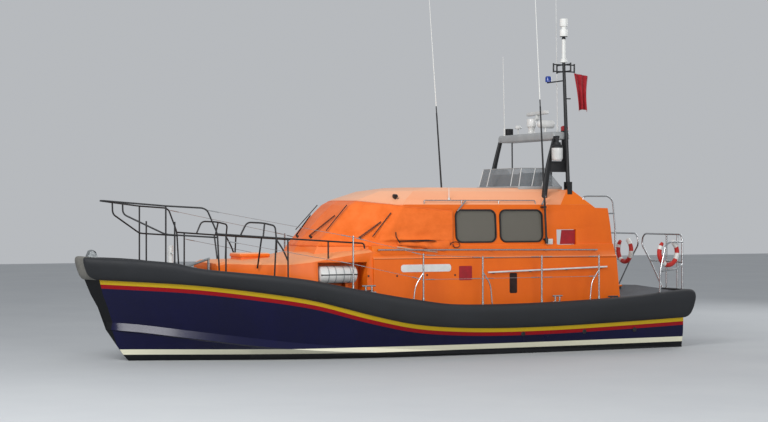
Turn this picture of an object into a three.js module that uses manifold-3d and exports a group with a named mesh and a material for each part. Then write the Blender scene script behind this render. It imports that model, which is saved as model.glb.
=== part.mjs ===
// All-weather waterjet lifeboat, 13.6 m long, in millimetres.
// +X forward, +Y port, +Z up; the origin is amidships on the centreline at the waterline.

import * as THREE from "three";
import { mergeVertices } from "three/addons/utils/BufferGeometryUtils.js";
import Module from "manifold-3d";

const wasm = await Module();
wasm.setup();

const GAP = 0.4;
const TRANSOM_X = -6560;
const DECK_THICK = 45;
const DECK_CAMBER = 70;
const FENDER_OUT = 215;
const FENDER_RISE = 50;
const PAD_HALF = 240;
const WALL = 50;
const EAVE_Z = 3175;
const FRONT_X = 100;
const LOWER_FRONT_X = 900;
const BULKHEAD_X = -3460;
const BULKHEAD_THICK = 50;
const WELL_Z = 1020;
const SOLE_THICK = 60;
const TUBE = 17;
const STERN_TUBE = 20;
const WIRE = 5;
const ARCH = { x: -3810, z: 4610, half: 1270, deep: 420, high: 170 };
const STERN_RAIL_X = -6700;
const MAST = { x: -3815, footX: -3925, y: 1340, pivotZ: 3620, r: 46 };
const RADAR = { x: -3775, turnX: -3930, yaw: -8 };
const JET = { y: 700, z: -180, pivotX: -6400, bucketX: -6200 };

// Hull lines, aft to stem. Columns: x, half breadth y, height z.
const KEEL = [
  [-6560, 0, -580], [-4000, 0, -690], [-1000, 0, -750], [2000, 0, -745],
  [3500, 0, -690], [4500, 0, -590], [5050, 0, -450], [5420, 0, -250],
];
const CHINE = [
  [-6560, 1890, -30], [-4000, 1880, 0], [-2000, 1850, 40], [0, 1770, 90], [1000, 1690, 130],
  [2000, 1550, 185], [3000, 1330, 270], [3850, 1080, 377], [4800, 680, 503], [5500, 330, 595],
  [6105, 25, 645],
];
const KNUCKLE = [
  [-6560, 1915, 330], [-4000, 1955, 330], [-2000, 1975, 380], [0, 1935, 560], [1000, 1880, 700],
  [2000, 1780, 890], [3000, 1580, 1040], [3900, 1320, 1150], [4850, 950, 1240], [5700, 540, 1310],
  [6420, 30, 1370],
];
const FOOT = [
  [-6560, 1930, 660], [-5300, 1965, 620], [-3300, 2020, 570], [-1700, 2035, 570], [-600, 2030, 620],
  [200, 2010, 710], [1200, 1955, 930], [2300, 1830, 1220], [3600, 1540, 1430], [4700, 1160, 1560],
  [5840, 560, 1632], [6540, 40, 1664],
];
const SHEER = [
  [-6560, 1940, 1240], [-5400, 1985, 1140], [-4300, 2025, 1080], [-2300, 2060, 1030],
  [-600, 2065, 1060], [500, 2040, 1230], [1400, 1975, 1390], [2300, 1865, 1580], [3100, 1715, 1690],
  [4200, 1400, 1800], [4600, 1235, 1855], [5050, 1050, 1960], [5800, 650, 2025], [6300, 300, 2052],
  [6620, 50, 2080],
];
const STATIONS = [
  -6560, -5400, -4200, -3000, -1800, -700, 200, 1000, 1700, 2400, 3100, 3800, 4350, 4650, 4850,
  5050, 5550, 5950, 6270, 6480, 6620,
];

// Raised foredeck. Columns: x, y at deck, y at top edge, z of top edge, y of shoulder, crown z.
const TRUNK = [
  [900, 1605, 1560, 2190, 1450, 2300],
  [1300, 1590, 1540, 2140, 1430, 2280],
  [1800, 1560, 1500, 2060, 1380, 2220],
  [2250, 1505, 1440, 1985, 1310, 2150],
  [2650, 1420, 1360, 1945, 1240, 2090],
  [3250, 1220, 1160, 1945, 1040, 2050],
  [3850, 950, 890, 1965, 780, 2025],
  [4000, 820, 740, 1920, 640, 1985],
];

// Upper house by level. Columns: z, aft x, aft y, corner x, corner y, quarter x, quarter y, nose x.
const HOUSE = [
  [2080, -5120, 1508, 750, 1515, 1965, 888, 2075],
  [2200, -5120, 1500, 680, 1500, 1900, 870, 2010],
  [2330, -5120, 1490, 600, 1480, 1830, 850, 1945],
  [2750, -5120, 1462, 370, 1455, 1420, 820, 1520],
  [3170, -5120, 1430, 130, 1420, 1040, 780, 1120],
  [3280, -5120, 1320, 20, 1300, 850, 720, 930],
  [3460, -5120, 1100, -280, 1050, 300, 620, 380],
  [3540, -5120, 950, -700, 850, -350, 560, -300],
];

// Lower house by level. Columns: z, half breadth.
const LOWER = [[800, 1625], [2050, 1610], [2075, 1572], [2310, 1525]];

// Side windows. Columns: x aft, x forward.
const WINDOWS = [
  { name: "aft", x0: -3190, x1: -2160 },
  { name: "fore", x0: -2040, x1: -1090 },
];
const WINDOW_Z = [2380, 3050];
const WINDOW_R = 130;

const COLOURS = {
  navy: [0x10164a, 0.35, 0], orange: [0xe8642a, 0.45, 0], fender: [0x26282c, 0.8, 0],
  grey: [0x9a9d9f, 0.5, 0], steel: [0xb9bcbd, 0.3, 0.9], black: [0x141416, 0.5, 0],
  white: [0xe9e9e4, 0.45, 0], glass: [0x2f3a40, 0.08, 0], tint: [0x6f777c, 0.12, 0],
  canvas: [0xf07038, 0.9, 0], red: [0xc8342a, 0.7, 0], alloy: [0x8c9092, 0.4, 0.8],
  floor: [0x6d7073, 0.8, 0], seat: [0x1d1f24, 0.8, 0], flag: [0xb01020, 0.9, 0],
};

const part = new THREE.Group();

function solidOf(positions, index) {
  let volume = 0;
  const at = (i) => new THREE.Vector3().fromArray(positions, 3 * i);
  for (let i = 0; i < index.length; i += 3) {
    volume += at(index[i]).dot(at(index[i + 1]).cross(at(index[i + 2])));
  }
  const tris = [];
  for (let i = 0; i < index.length; i += 3) {
    const [a, b, c] = volume < 0 ? [index[i], index[i + 2], index[i + 1]] : index.slice(i, i + 3);
    if (a !== b && b !== c && c !== a) tris.push(a, b, c);
  }
  return new wasm.Manifold(new wasm.Mesh({
    numProp: 3,
    vertProperties: Float32Array.from(positions),
    triVerts: Uint32Array.from(tris),
  }));
}

function solid(geometry) {
  const plain = geometry.clone();
  plain.deleteAttribute("normal");
  plain.deleteAttribute("uv");
  const merged = mergeVertices(plain, 1e-3);
  return solidOf(Array.from(merged.attributes.position.array), Array.from(merged.index.array));
}

function place(name, body, colour) {
  const mesh = body.getMesh();
  const geometry = new THREE.BufferGeometry();
  geometry.setAttribute("position", new THREE.Float32BufferAttribute(mesh.vertProperties, 3));
  geometry.setIndex(new THREE.Uint32BufferAttribute(mesh.triVerts, 1));
  geometry.computeVertexNormals();
  const [color, roughness, metalness] = COLOURS[colour];
  const shape = new THREE.Mesh(geometry, new THREE.MeshStandardMaterial({ color, roughness, metalness }));
  shape.name = name;
  part.add(shape);
}

function join(bodies) {
  return bodies.reduce((whole, body) => whole.add(body));
}

function box(x0, x1, y0, y1, z0, z1) {
  const geometry = new THREE.BoxGeometry(x1 - x0, y1 - y0, z1 - z0);
  geometry.translate((x0 + x1) / 2, (y0 + y1) / 2, (z0 + z1) / 2);
  return solid(geometry);
}

// A box on one side of the boat: side is 1 to port and -1 to starboard.
function sideBox(side, x0, x1, y0, y1, z0, z1) {
  return side > 0 ? box(x0, x1, y0, y1, z0, z1) : box(x0, x1, -y1, -y0, z0, z1);
}

function rod(from, to, radius, sides = 12, endRadius = radius) {
  const a = new THREE.Vector3(...from);
  const b = new THREE.Vector3(...to);
  const geometry = new THREE.CylinderGeometry(endRadius, radius, a.distanceTo(b), sides);
  const turn = new THREE.Quaternion().setFromUnitVectors(
    new THREE.Vector3(0, 1, 0), b.clone().sub(a).normalize());
  geometry.applyQuaternion(turn);
  geometry.translate(...a.clone().add(b).multiplyScalar(0.5).toArray());
  return solid(geometry);
}

function turned(profile, centre, axis, sides = 20) {
  const geometry = new THREE.LatheGeometry(profile.map(([r, h]) => new THREE.Vector2(r, h)), sides);
  geometry.applyQuaternion(new THREE.Quaternion().setFromUnitVectors(
    new THREE.Vector3(0, 1, 0), new THREE.Vector3(...axis)));
  geometry.translate(...centre);
  return solid(geometry);
}

// Joins equal rings of points into one closed body. The end rings are closed as flat faces, or
// rung by rung across the centreline where they are mirrored about it and start on it.
function loft(rings, rungs = false) {
  const n = rings[0].length;
  const index = [];
  for (let i = 0; i + 1 < rings.length; i++) {
    for (let j = 0; j < n; j++) {
      const a = i * n + j;
      const b = i * n + (j + 1) % n;
      index.push(a, b, b + n, a, b + n, a + n);
    }
  }
  const end = (ring, base, flip) => {
    if (rungs) {
      for (let j = 1; j < n / 2; j++) {
        const [p, q, r, s] = [j - 1, j, (n - j) % n, (n - j + 1) % n].map((k) => base + k);
        index.push(...(flip ? [p, r, q, p, s, r] : [p, q, r, p, r, s]));
      }
      return;
    }
    const normal = new THREE.Vector3();
    ring.forEach((p, j) => {
      const q = ring[(j + 1) % n];
      normal.x += (p[1] - q[1]) * (p[2] + q[2]);
      normal.y += (p[2] - q[2]) * (p[0] + q[0]);
      normal.z += (p[0] - q[0]) * (p[1] + q[1]);
    });
    const drop = [0, 1, 2].sort((u, v) =>
      Math.abs(normal.getComponent(v)) - Math.abs(normal.getComponent(u)))[0];
    const [u, v] = [[1, 2], [2, 0], [0, 1]][drop];
    const flat = ring.map((p) => new THREE.Vector2(p[u], p[v]));
    const down = normal.getComponent(drop) < 0;
    for (const [a, b, c] of THREE.ShapeUtils.triangulateShape(down ? [...flat].reverse() : flat, [])) {
      const k = [a, b, c].map((m) => base + (down ? n - 1 - m : m));
      if (flip !== down) index.push(k[0], k[2], k[1]);
      else index.push(...k);
    }
  };
  end(rings[0], 0, true);
  end(rings.at(-1), (rings.length - 1) * n, false);
  return solidOf(rings.flat(2), index);
}

// A round tube along a polyline, mitred at its bends.
function pipe(points, radius = TUBE, sides = 6) {
  const p = points.map((q) => new THREE.Vector3(...q));
  const way = (i) => p[i + 1].clone().sub(p[i]).normalize();
  const first = way(0);
  let u = new THREE.Vector3(0, 0, 1).cross(first);
  if (u.length() < 0.1) u = new THREE.Vector3(1, 0, 0).cross(first);
  u.normalize();
  const rings = [];
  for (let i = 0; i < p.length; i++) {
    const before = i > 0 ? way(i - 1) : first;
    const after = i + 1 < p.length ? way(i) : before;
    const mitre = before.clone().add(after).normalize();
    const v = before.clone().cross(u);
    rings.push(Array.from({ length: sides }, (_, k) => {
      const angle = (2 * Math.PI * (k + 0.5)) / sides;
      const spoke = u.clone().multiplyScalar(Math.cos(angle)).addScaledVector(v, Math.sin(angle));
      spoke.multiplyScalar(radius);
      spoke.addScaledVector(before, -spoke.dot(mitre) / before.dot(mitre));
      return p[i].clone().add(spoke).toArray();
    }));
    u.addScaledVector(after, -u.dot(after)).normalize();
  }
  return loft(rings);
}

// A flat plate: an outline of [a, b] points, extruded along one axis from low to high.
function plate(outline, axis, low, high) {
  const put = { X: (a, b, t) => [t, a, b], Y: (a, b, t) => [a, t, b], Z: (a, b, t) => [a, b, t] }[axis];
  return loft([low, high].map((t) => outline.map(([a, b]) => put(a, b, t))));
}

function roundedBox(x0, x1, z0, z1, radius) {
  const outline = [];
  const corners = [[x1 - radius, z1 - radius, 0], [x0 + radius, z1 - radius, 90],
    [x0 + radius, z0 + radius, 180], [x1 - radius, z0 + radius, 270]];
  for (const [x, z, from] of corners) {
    for (let k = 0; k <= 4; k++) {
      const angle = THREE.MathUtils.degToRad(from + 22.5 * k);
      outline.push([x + radius * Math.cos(angle), z + radius * Math.sin(angle)]);
    }
  }
  return outline;
}

// Smooth value of a table column at x.
function along(table, column, x) {
  const slope = (i) => {
    const a = table[Math.max(i - 1, 0)];
    const b = table[Math.min(i + 1, table.length - 1)];
    return (b[column] - a[column]) / (b[0] - a[0]);
  };
  let i = 0;
  while (i < table.length - 2 && x > table[i + 1][0]) i++;
  const [p, q] = [table[i], table[i + 1]];
  const span = q[0] - p[0];
  const t = THREE.MathUtils.clamp((x - p[0]) / span, 0, 1);
  return p[column] * (1 + 2 * t) * (1 - t) ** 2 + slope(i) * span * t * (1 - t) ** 2
    + q[column] * t * t * (3 - 2 * t) - slope(i + 1) * span * t * t * (1 - t);
}

// A point of a hull line at a station; forward of 2 m each line runs out to its own stem point.
function linePoint(table, station) {
  const reach = (table.at(-1)[0] - 2000) / (SHEER.at(-1)[0] - 2000);
  const x = station < 2000 ? station : 2000 + (station - 2000) * reach;
  return [x, along(table, 1, x), along(table, 2, x)];
}

function hullShape(grow) {
  return loft(STATIONS.map((station, i) => {
    const [keel, chine, knuckle, foot, sheer] =
      [KEEL, CHINE, KNUCKLE, FOOT, SHEER].map((table) => linePoint(table, station));
    const rail = Math.min(60, chine[1] * 0.3);
    const rise = THREE.MathUtils.clamp(70 + chine[0] / 40, 60, 150);
    const half = [
      [(keel[0] + chine[0]) / 2, chine[1] * 0.5, keel[2] + (chine[2] - keel[2]) * 0.44],
      [chine[0], chine[1] - rail, chine[2] - rail * 0.45],
      chine,
      [chine[0], chine[1] - Math.min(rise * 0.47, chine[1] * 0.35), chine[2] + rise],
      knuckle, foot, sheer,
      [sheer[0], sheer[1], sheer[2] + 130],
    ];
    const push = i === 0 ? -grow : i === STATIONS.length - 1 ? grow : 0;
    const port = half.map(([x, y, z]) => [x + push, y + grow, z]);
    const starboard = port.map(([x, y, z]) => [x, -y, z]).reverse();
    return [[keel[0] + push, 0, keel[2] - grow], ...port, ...starboard];
  }), true);
}

// Everything below the deck surface raised by lift.
function underDeck(lift) {
  const rings = [TRANSOM_X - 500, ...STATIONS, 7200].map((station) => {
    const [, y, z] = linePoint(SHEER, THREE.MathUtils.clamp(station, TRANSOM_X, 6620));
    const wide = y + 500;
    return [[-wide, -2000], [-wide, z + lift], [-y, z + lift], [0, z + lift + DECK_CAMBER * y / 2000],
      [y, z + lift], [wide, z + lift], [wide, -2000]].map(([a, b]) => [station, a, b]);
  });
  return loft(rings);
}

function deckHeight(x, y) {
  const half = along(SHEER, 1, x);
  return along(SHEER, 2, x) + DECK_CAMBER * half / 2000 * (1 - Math.abs(y) / half);
}

const below = underDeck(GAP);

function onDeck(body) {
  return body.subtract(below);
}

// Jet bays let into the stern, one each side.
function jetBays() {
  return [1, -1].map((side) => sideBox(side, -6700, -6100, JET.y - 320, JET.y + 320, -1200, 360));
}

const AFT_HATCH = { x0: -5980, x1: -5280, half: 350, z: 1295 };

function buildHull() {
  const full = hullShape(0);
  const well = box(-3440, 845, -1500, 1500, WELL_Z, 2500);
  let hull = full.intersect(underDeck(-DECK_THICK - GAP)).subtract(well);
  for (const bay of jetBays()) hull = hull.subtract(bay);
  place("hull", hull, "navy");
  const fairlead = join([
    box(6320, 6480, -95, 95, 2030, 2175),
    rod([6400, -95, 2175], [6400, 95, 2175], 75),
  ]);
  const bollards = [1, -1].flatMap((side) => [1150, -4750].map((x) => {
    const z = deckHeight(x, 1880);
    return join([sideBox(side, x - 130, x + 130, 1840, 1900, z - 30, z + 12),
      sideBox(side, x - 65, x - 35, 1855, 1885, z, z + 60),
      sideBox(side, x + 35, x + 65, 1855, 1885, z, z + 60),
      rod([x - 120, side * 1870, z + 60], [x + 120, side * 1870, z + 60], 17, 8)]);
  }));
  const { x0, x1, half, z } = AFT_HATCH;
  const coaming = box(x0 + 20, x1 - 20, -half + 20, half - 20, 1150, z);
  const deck = join([full.intersect(underDeck(0)), fairlead, coaming, ...bollards]);
  place("deck", deck.subtract(underDeck(-DECK_THICK)).subtract(well), "floor");
}

// The fender's rings run from the port side of the transom round the bow to starboard.
function buildFender() {
  const side = STATIONS.slice(1, -1).map((station) => ({ station }));
  side.unshift({ station: -6250 });
  const frames = side.map(({ station }) => {
    const foot = linePoint(FOOT, station);
    const sheer = linePoint(SHEER, station);
    const step = 40;
    const ahead = linePoint(SHEER, Math.min(station + step, 6620));
    const astern = linePoint(SHEER, Math.max(station - step, TRANSOM_X));
    const normal = new THREE.Vector2(astern[1] - ahead[1], ahead[0] - astern[0]).normalize();
    return { foot, sheer, normal: normal.toArray() };
  });
  const corner = (y, normal) => ({ foot: [TRANSOM_X, y - 18, 660], sheer: [TRANSOM_X, y, 1240], normal });
  frames.unshift(corner(1120, [-1.16, 0]), corner(1790, [-1.16, 0]), corner(1935, [-0.95, 0.85]));
  frames.push({ foot: [6520, 85, 1664], sheer: [6600, 100, 2080], normal: [0.25, 0.7] });
  const nose = { foot: [6548, 0, 1665], sheer: [6628, 0, 2082], normal: [0.62, 0] };
  const mirrored = [...frames].reverse().map(({ foot, sheer, normal }) => ({
    foot: [foot[0], -foot[1], foot[2]],
    sheer: [sheer[0], -sheer[1], sheer[2]],
    normal: [normal[0], -normal[1]],
  }));
  const section = [[-40, 0], [60, 0.02], [130, 0.16], [185, 0.42], [FENDER_OUT, 0.72],
    [205, 0.86], [170, 0.965], [120, 1], [-40, 1]];
  const whole = loft([...frames, nose, ...mirrored].map(({ foot, sheer, normal }) =>
    section.map(([out, up]) => [
      foot[0] + (sheer[0] - foot[0]) * up + normal[0] * out,
      foot[1] + (sheer[1] - foot[1]) * up + normal[1] * out,
      foot[2] + (sheer[2] + FENDER_RISE - foot[2]) * up,
    ]))).subtract(hullShape(GAP));
  const cut = PAD_HALF + GAP;
  place("fender_port", whole.intersect(box(-7500, 7500, cut, 3000, -500, 3000)), "fender");
  place("fender_starboard", whole.intersect(box(-7500, 7500, -3000, -cut, -500, 3000)), "fender");
  place("bow_pad", whole.intersect(box(5500, 7500, -PAD_HALF, PAD_HALF, -500, 3000)), "grey");
}

// Height of the fender's flat top at x.
function fenderTop(x) {
  const stations = [TRANSOM_X, -6250, ...STATIONS.slice(1)];
  let i = 0;
  while (x > stations[i + 1]) i++;
  const [a, b] = [stations[i], stations[i + 1]];
  const [low, high] = [a, b].map((station) => along(SHEER, 2, station));
  return low + (high - low) * Math.max(x - a, 0) / (b - a) + FENDER_RISE;
}

function trunkShape(grow) {
  const rows = TRUNK.map(([x, base, top, z, shoulder, crown], i) => {
    const half = [[base, 800], [top, z], [shoulder, z + 45], [shoulder * 0.4, crown - 15]]
      .map(([a, b]) => [a + grow, b + grow]);
    const ring = [...half, ...half.map(([a, b]) => [-a, b]).reverse()];
    const at = x + (i === 0 ? GAP - grow : 0);
    return ring.map(([a, b]) => [at, a, b]);
  });
  return loft(rows);
}

const RAFT = { x0: 1180, x1: 2050, y: 1325, z: 1730, r: 182 };

function raft(side, grow) {
  const half = (RAFT.x1 - RAFT.x0) / 2;
  const profile = [[0, -half], [110, -half + 4], [160, -half + 32], [RAFT.r, -half + 80],
    [RAFT.r, half - 80], [160, half - 32], [110, half - 4], [0, half]];
  const grown = profile.map(([r, h]) => [r > 0 ? r + grow : 0, h + Math.sign(h) * grow]);
  return turned(grown, [(RAFT.x0 + RAFT.x1) / 2, side * RAFT.y, RAFT.z], [1, 0, 0]);
}

const HATCH = { x0: 2690, x1: 3350, half: 330, z: 2085 };

function buildTrunk() {
  let trunk = trunkShape(0);
  for (const side of [1, -1]) {
    trunk = trunk.subtract(sideBox(side, 1030, 2085, 1110, 1900, 1300, 1985));
    for (const x of [1340, 1840]) {
      trunk = trunk.add(sideBox(side, x, x + 60, 1050, 1300, 1400, 1650));
    }
    trunk = trunk.subtract(raft(side, GAP));
    place(side > 0 ? "liferaft_port" : "liferaft_starboard", raft(side, 0), "white");
  }
  const { x0, x1, half, z } = HATCH;
  trunk = trunk.add(box(x0 + 20, x1 - 20, -half + 20, half - 20, 1950, z));
  place("foredeck_trunk", onDeck(trunk), "orange");
  const lid = join([
    loft([[z + GAP, 0], [z + 55, 0], [z + 78, 25]].map(([h, inset]) =>
      [[x0 + inset, -half + inset], [x1 - inset, -half + inset], [x1 - inset, half - inset],
        [x0 + inset, half - inset]].map(([a, b]) => [a, b, h]))),
  ]);
  place("foredeck_hatch_lid", lid, "orange");
}

function planAt(z) {
  let i = 0;
  while (i < HOUSE.length - 2 && z > HOUSE[i + 1][0]) i++;
  const t = (z - HOUSE[i][0]) / (HOUSE[i + 1][0] - HOUSE[i][0]);
  return HOUSE[i].map((value, k) => value + (HOUSE[i + 1][k] - value) * t);
}

// One level of the upper house, moved out by out (in where it is negative).
function houseRing(z, out, height = z) {
  const [, aft, w, cx, cw, qx, qw, nose] = planAt(z);
  const half = [[aft, w + out], [cx + out * 0.6, cw + out], [qx + out * 0.85, qw + out * 0.55]];
  return [...half, [nose + out, 0], ...half.map(([a, b]) => [a, -b]).reverse()]
    .map(([a, b]) => [a, b, height]);
}

function house(out) {
  return loft(HOUSE.map(([z]) => houseRing(z, out, z + (z > 3200 ? out : 0))));
}

function lowerHouse(out) {
  return loft(LOWER.map(([z, w]) => [[-5120, w + out], [LOWER_FRONT_X + Math.min(out, 0), w + out],
    [LOWER_FRONT_X + Math.min(out, 0), -w - out], [-5120, -w - out]].map(([a, b]) => [a, b, z])));
}

// Raised blocks at the aft corners of the roof, over the wing walls, moved out by out.
function wingBlocks(out) {
  const ends = plate([[-3670 + out, 3000], [-3670 + out, 3150 + out], [-3860 + out * 0.5, 3500 + out],
    [-3990, 3490 + out], [-4567, 3106 + out], [-4890 - out, 3098 + out], [-4890 - out, 3000]],
  "Y", -2000, 2000);
  return join([1, -1].map((side) => plate([[1000 - out, 2900], [1446 + out, 2900], [1396 + out, 3600],
    [1000 - out, 3600]].map(([y, z]) => [side * y, z]), "X", -5200, -3500))).intersect(ends);
}

function windowCut(side, { x0, x1 }, grow) {
  const outline = roundedBox(x0 - grow, x1 + grow, WINDOW_Z[0] - grow, WINDOW_Z[1] + grow, WINDOW_R);
  return side > 0 ? plate(outline, "Y", 1200, 1700) : plate(outline, "Y", -1700, -1200);
}

const DOOR = {
  half: 345, z0: 1185, z1: 3000, x0: -3560, thick: 42, knuckles: [[1350, 1470], [2650, 2770]],
};

// Outline of the wing walls from their top down the aft edge. Columns: x, z.
const WING = [[-3990, 3490], [-4567, 3106], [-4890, 3098], [-4940, 2720], [-5087, 1167]];

function buildCabin() {
  const outer = house(0).add(lowerHouse(0)).add(wingBlocks(0));
  const inside = house(-WALL).intersect(box(-3530, 3000, -2000, 2000, 2000, 3600))
    .add(lowerHouse(-WALL).intersect(box(-3530, 3000, -2000, 2000, 700, 2310)));
  const cockpit = join([
    box(-5200, -3500, -1365, 1365, 700, 3170),
    box(-5200, -3500, -1080, 1080, 3160, 3400),
    box(-5200, -4010, -1365, 1365, 3160, 3800),
  ]);
  const profile = plate([...WING, [-5087, 500], [-5600, 500], [-5600, 3800], [-3990, 3800]],
    "Y", -2500, 2500);
  let shell = outer.subtract(inside).subtract(cockpit).subtract(profile);
  const far = box(-4050, -3555, -2000, 2000, 2300, 2630);
  shell = shell.subtract(far);
  for (const side of [1, -1]) {
    for (const opening of WINDOWS) shell = shell.subtract(windowCut(side, opening, 0));
    shell = shell.subtract(side > 0
      ? plate(roundedBox(-860, 60, WINDOW_Z[0] + 20, WINDOW_Z[1], WINDOW_R), "Y", 1200, 1700)
      : plate(roundedBox(-860, 60, WINDOW_Z[0] + 20, WINDOW_Z[1], WINDOW_R), "Y", -1700, -1200));
    shell = shell.subtract(sideBox(side, 700, 2500, 60, 700, 2440, 3060));
  }
  const low = box(-5200, LOWER_FRONT_X, -2000, 2000, 700, 2200);
  const back = box(-5200, FRONT_X, -2000, 2000, 2100, EAVE_Z);
  const sides = onDeck(shell.intersect(low.add(back)));
  place("cabin_side_port", sides.intersect(box(-6000, 3000, 0, 2500, 500, 4000)), "orange");
  place("cabin_side_starboard", sides.intersect(box(-6000, 3000, -2500, 0, 500, 4000)), "orange");
  const front = shell.intersect(box(FRONT_X + GAP, 3000, -2000, 2000, 2200 + GAP, EAVE_Z)
    .add(box(LOWER_FRONT_X + GAP, 3000, -2000, 2000, 2000, 2210)));
  place("cabin_front", front.subtract(trunkShape(GAP)), "orange");
  place("cabin_roof", shell.intersect(box(-6000, 3000, -2000, 2000, EAVE_Z + GAP, 4000)), "orange");

  const lining = house(-WALL - GAP).intersect(box(-6000, 0, -2000, 2000, 2250, EAVE_Z + 400))
    .add(lowerHouse(-WALL - GAP).intersect(box(-6000, 0, -2000, 2000, 700, 2309)));
  const doorway = box(-3700, -3300, -DOOR.half, DOOR.half, DOOR.z0, DOOR.z1);
  const wall = lining.intersect(box(BULKHEAD_X - BULKHEAD_THICK, BULKHEAD_X, -2000, 2000, 700, 3470))
    .subtract(doorway);
  const pin = [DOOR.x0 + 21, DOOR.half + 50];
  const lugs = [];
  const knuckles = [];
  for (const [low, high] of DOOR.knuckles) {
    knuckles.push(rod([...pin, low], [...pin, high], 12, 16));
    knuckles.push(box(pin[0] - 8, pin[0] + 8, DOOR.half, pin[1], low, high));
    for (const [z0, z1] of [[low - 24, low - GAP], [high + GAP, high + 24]]) {
      lugs.push(rod([...pin, z0], [...pin, z1], 12, 16));
      lugs.push(box(pin[0], BULKHEAD_X - BULKHEAD_THICK + 10, pin[1] - 12, pin[1] + 12, z0, z1));
    }
  }
  place("cabin_bulkhead", onDeck(join([wall, ...lugs])), "orange");
  const leaf = join([
    box(DOOR.x0, DOOR.x0 + DOOR.thick, -DOOR.half - 25, DOOR.half + 25, DOOR.z0 - 20, DOOR.z1 + 25),
    ...knuckles,
  ]).subtract(plate(roundedBox(-180, 180, 2250, 2800, 80), "X", -3600, -3500));
  place("aft_door", leaf, "orange");

  for (const side of [1, -1]) {
    const hand = side > 0 ? "port" : "starboard";
    for (const opening of WINDOWS) {
      const pane = house(-14).subtract(house(-26)).intersect(windowCut(side, opening, -GAP));
      place(`window_${opening.name}_${hand}`, pane, "glass");
    }
  }
  const sheet = house(-WALL - 0.5).subtract(house(-WALL - 8.5))
    .intersect(box(-900, 3000, -2000, 2000, 2390, 3110));
  place("windscreen_glass", sheet, "glass");
}

function buildCover() {
  const levels = [[2325, 14], [2520, 40], [2750, 70], [3000, 75], [3170, 34], [3290, 20]];
  const under = plate([[-1000, 2000], [3000, 2000], [3000, 3285], [1300, 3280], [850, 3235], [400, 3187],
    [180, 3150], [-1000, 3045]], "Y", -2000, 2000);
  const outer = loft(levels.map(([z, out]) => houseRing(z, out))).intersect(under);
  place("windscreen_cover", outer.subtract(house(GAP + 0.2)), "canvas");
}

function seat(x, y, z, deep, wide, high) {
  return join([
    box(x - 90, x + 110, y - 110, y + 110, z - 20, z + 330),
    box(x - deep / 2, x + deep / 2, y - wide / 2, y + wide / 2, z + 310, z + 420),
    box(x - deep / 2 - 90, x - deep / 2 + 10, y - wide / 2, y + wide / 2, z + 330, z + high),
  ]);
}

function buildInterior() {
  const floor = WELL_Z + GAP + SOLE_THICK;
  place("cabin_sole", box(-3438, 840, -1495, 1495, WELL_Z + GAP, floor), "floor");
  const base = floor + GAP;
  const seats = [box(-3350, -500, -1050, 1050, base, base + 15)];
  for (const x of [-2850, -1900, -950]) {
    for (const y of [-720, 720]) seats.push(seat(x, y, base + 25, 480, 500, 1150));
  }
  place("crew_seats", join(seats), "seat");
  const dash = plate([[420, base], [835, base], [835, 2150], [520, 2130], [300, 1900], [300, 1780],
    [420, 1700]], "Y", -1250, 1250);
  place("helm_console", dash, "black");
}

function buildUpperHelm() {
  const roof = house(GAP);
  const frame = box(-4005, -2890, -960, 960, 3300, 3580)
    .subtract(box(-4200, -2960, -890, 890, 3000, 3700));
  const pod = box(-3300, -3060, -520, 520, 3300, 3850);
  place("upper_helm_coaming", frame.subtract(roof), "grey");
  const screen = loft([[3580 + GAP, 0], [3980, 1]].map(([z, top]) => {
    const fore = -2925 - 90 * top;
    const w = 935 - 55 * top;
    const aft = -3990 + 350 * top;
    const t = 12;
    return [[aft, w], [fore, w], [fore, -w], [aft, -w], [aft, -w + t], [fore - t, -w + t],
      [fore - t, w - t], [aft, w - t]].map(([a, b]) => [a, b, z]);
  }));
  place("upper_helm_screen", screen, "tint");
  place("upper_helm_console", pod.subtract(roof), "black");
  const bench = join([
    box(-3840, -3520, -700, 700, 3300, 3640),
    box(-3840, -3500, -700, -60, 3620, 3720),
    box(-3840, -3500, 60, 700, 3620, 3720),
    box(-3900, -3830, -700, 700, 3560, 3900),
  ]);
  place("upper_helm_seats", bench.subtract(roof), "seat");
  const hub = [-3345, 300, 3770];
  const rim = new THREE.TorusGeometry(125, 13, 6, 16);
  rim.rotateY(Math.PI / 2);
  rim.translate(...hub);
  const wheel = join([
    solid(rim),
    rod([hub[0] - 8, hub[1] - 125, hub[2]], [hub[0] - 8, hub[1] + 125, hub[2]], 9, 8),
    rod([hub[0] - 8, hub[1], hub[2] - 125], [hub[0] - 8, hub[1], hub[2] + 125], 9, 8),
    rod([hub[0] - 20, hub[1], hub[2]], [-3300 - GAP, hub[1], hub[2]], 22, 12),
  ]);
  place("upper_helm_wheel", wheel, "black");
}

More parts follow.
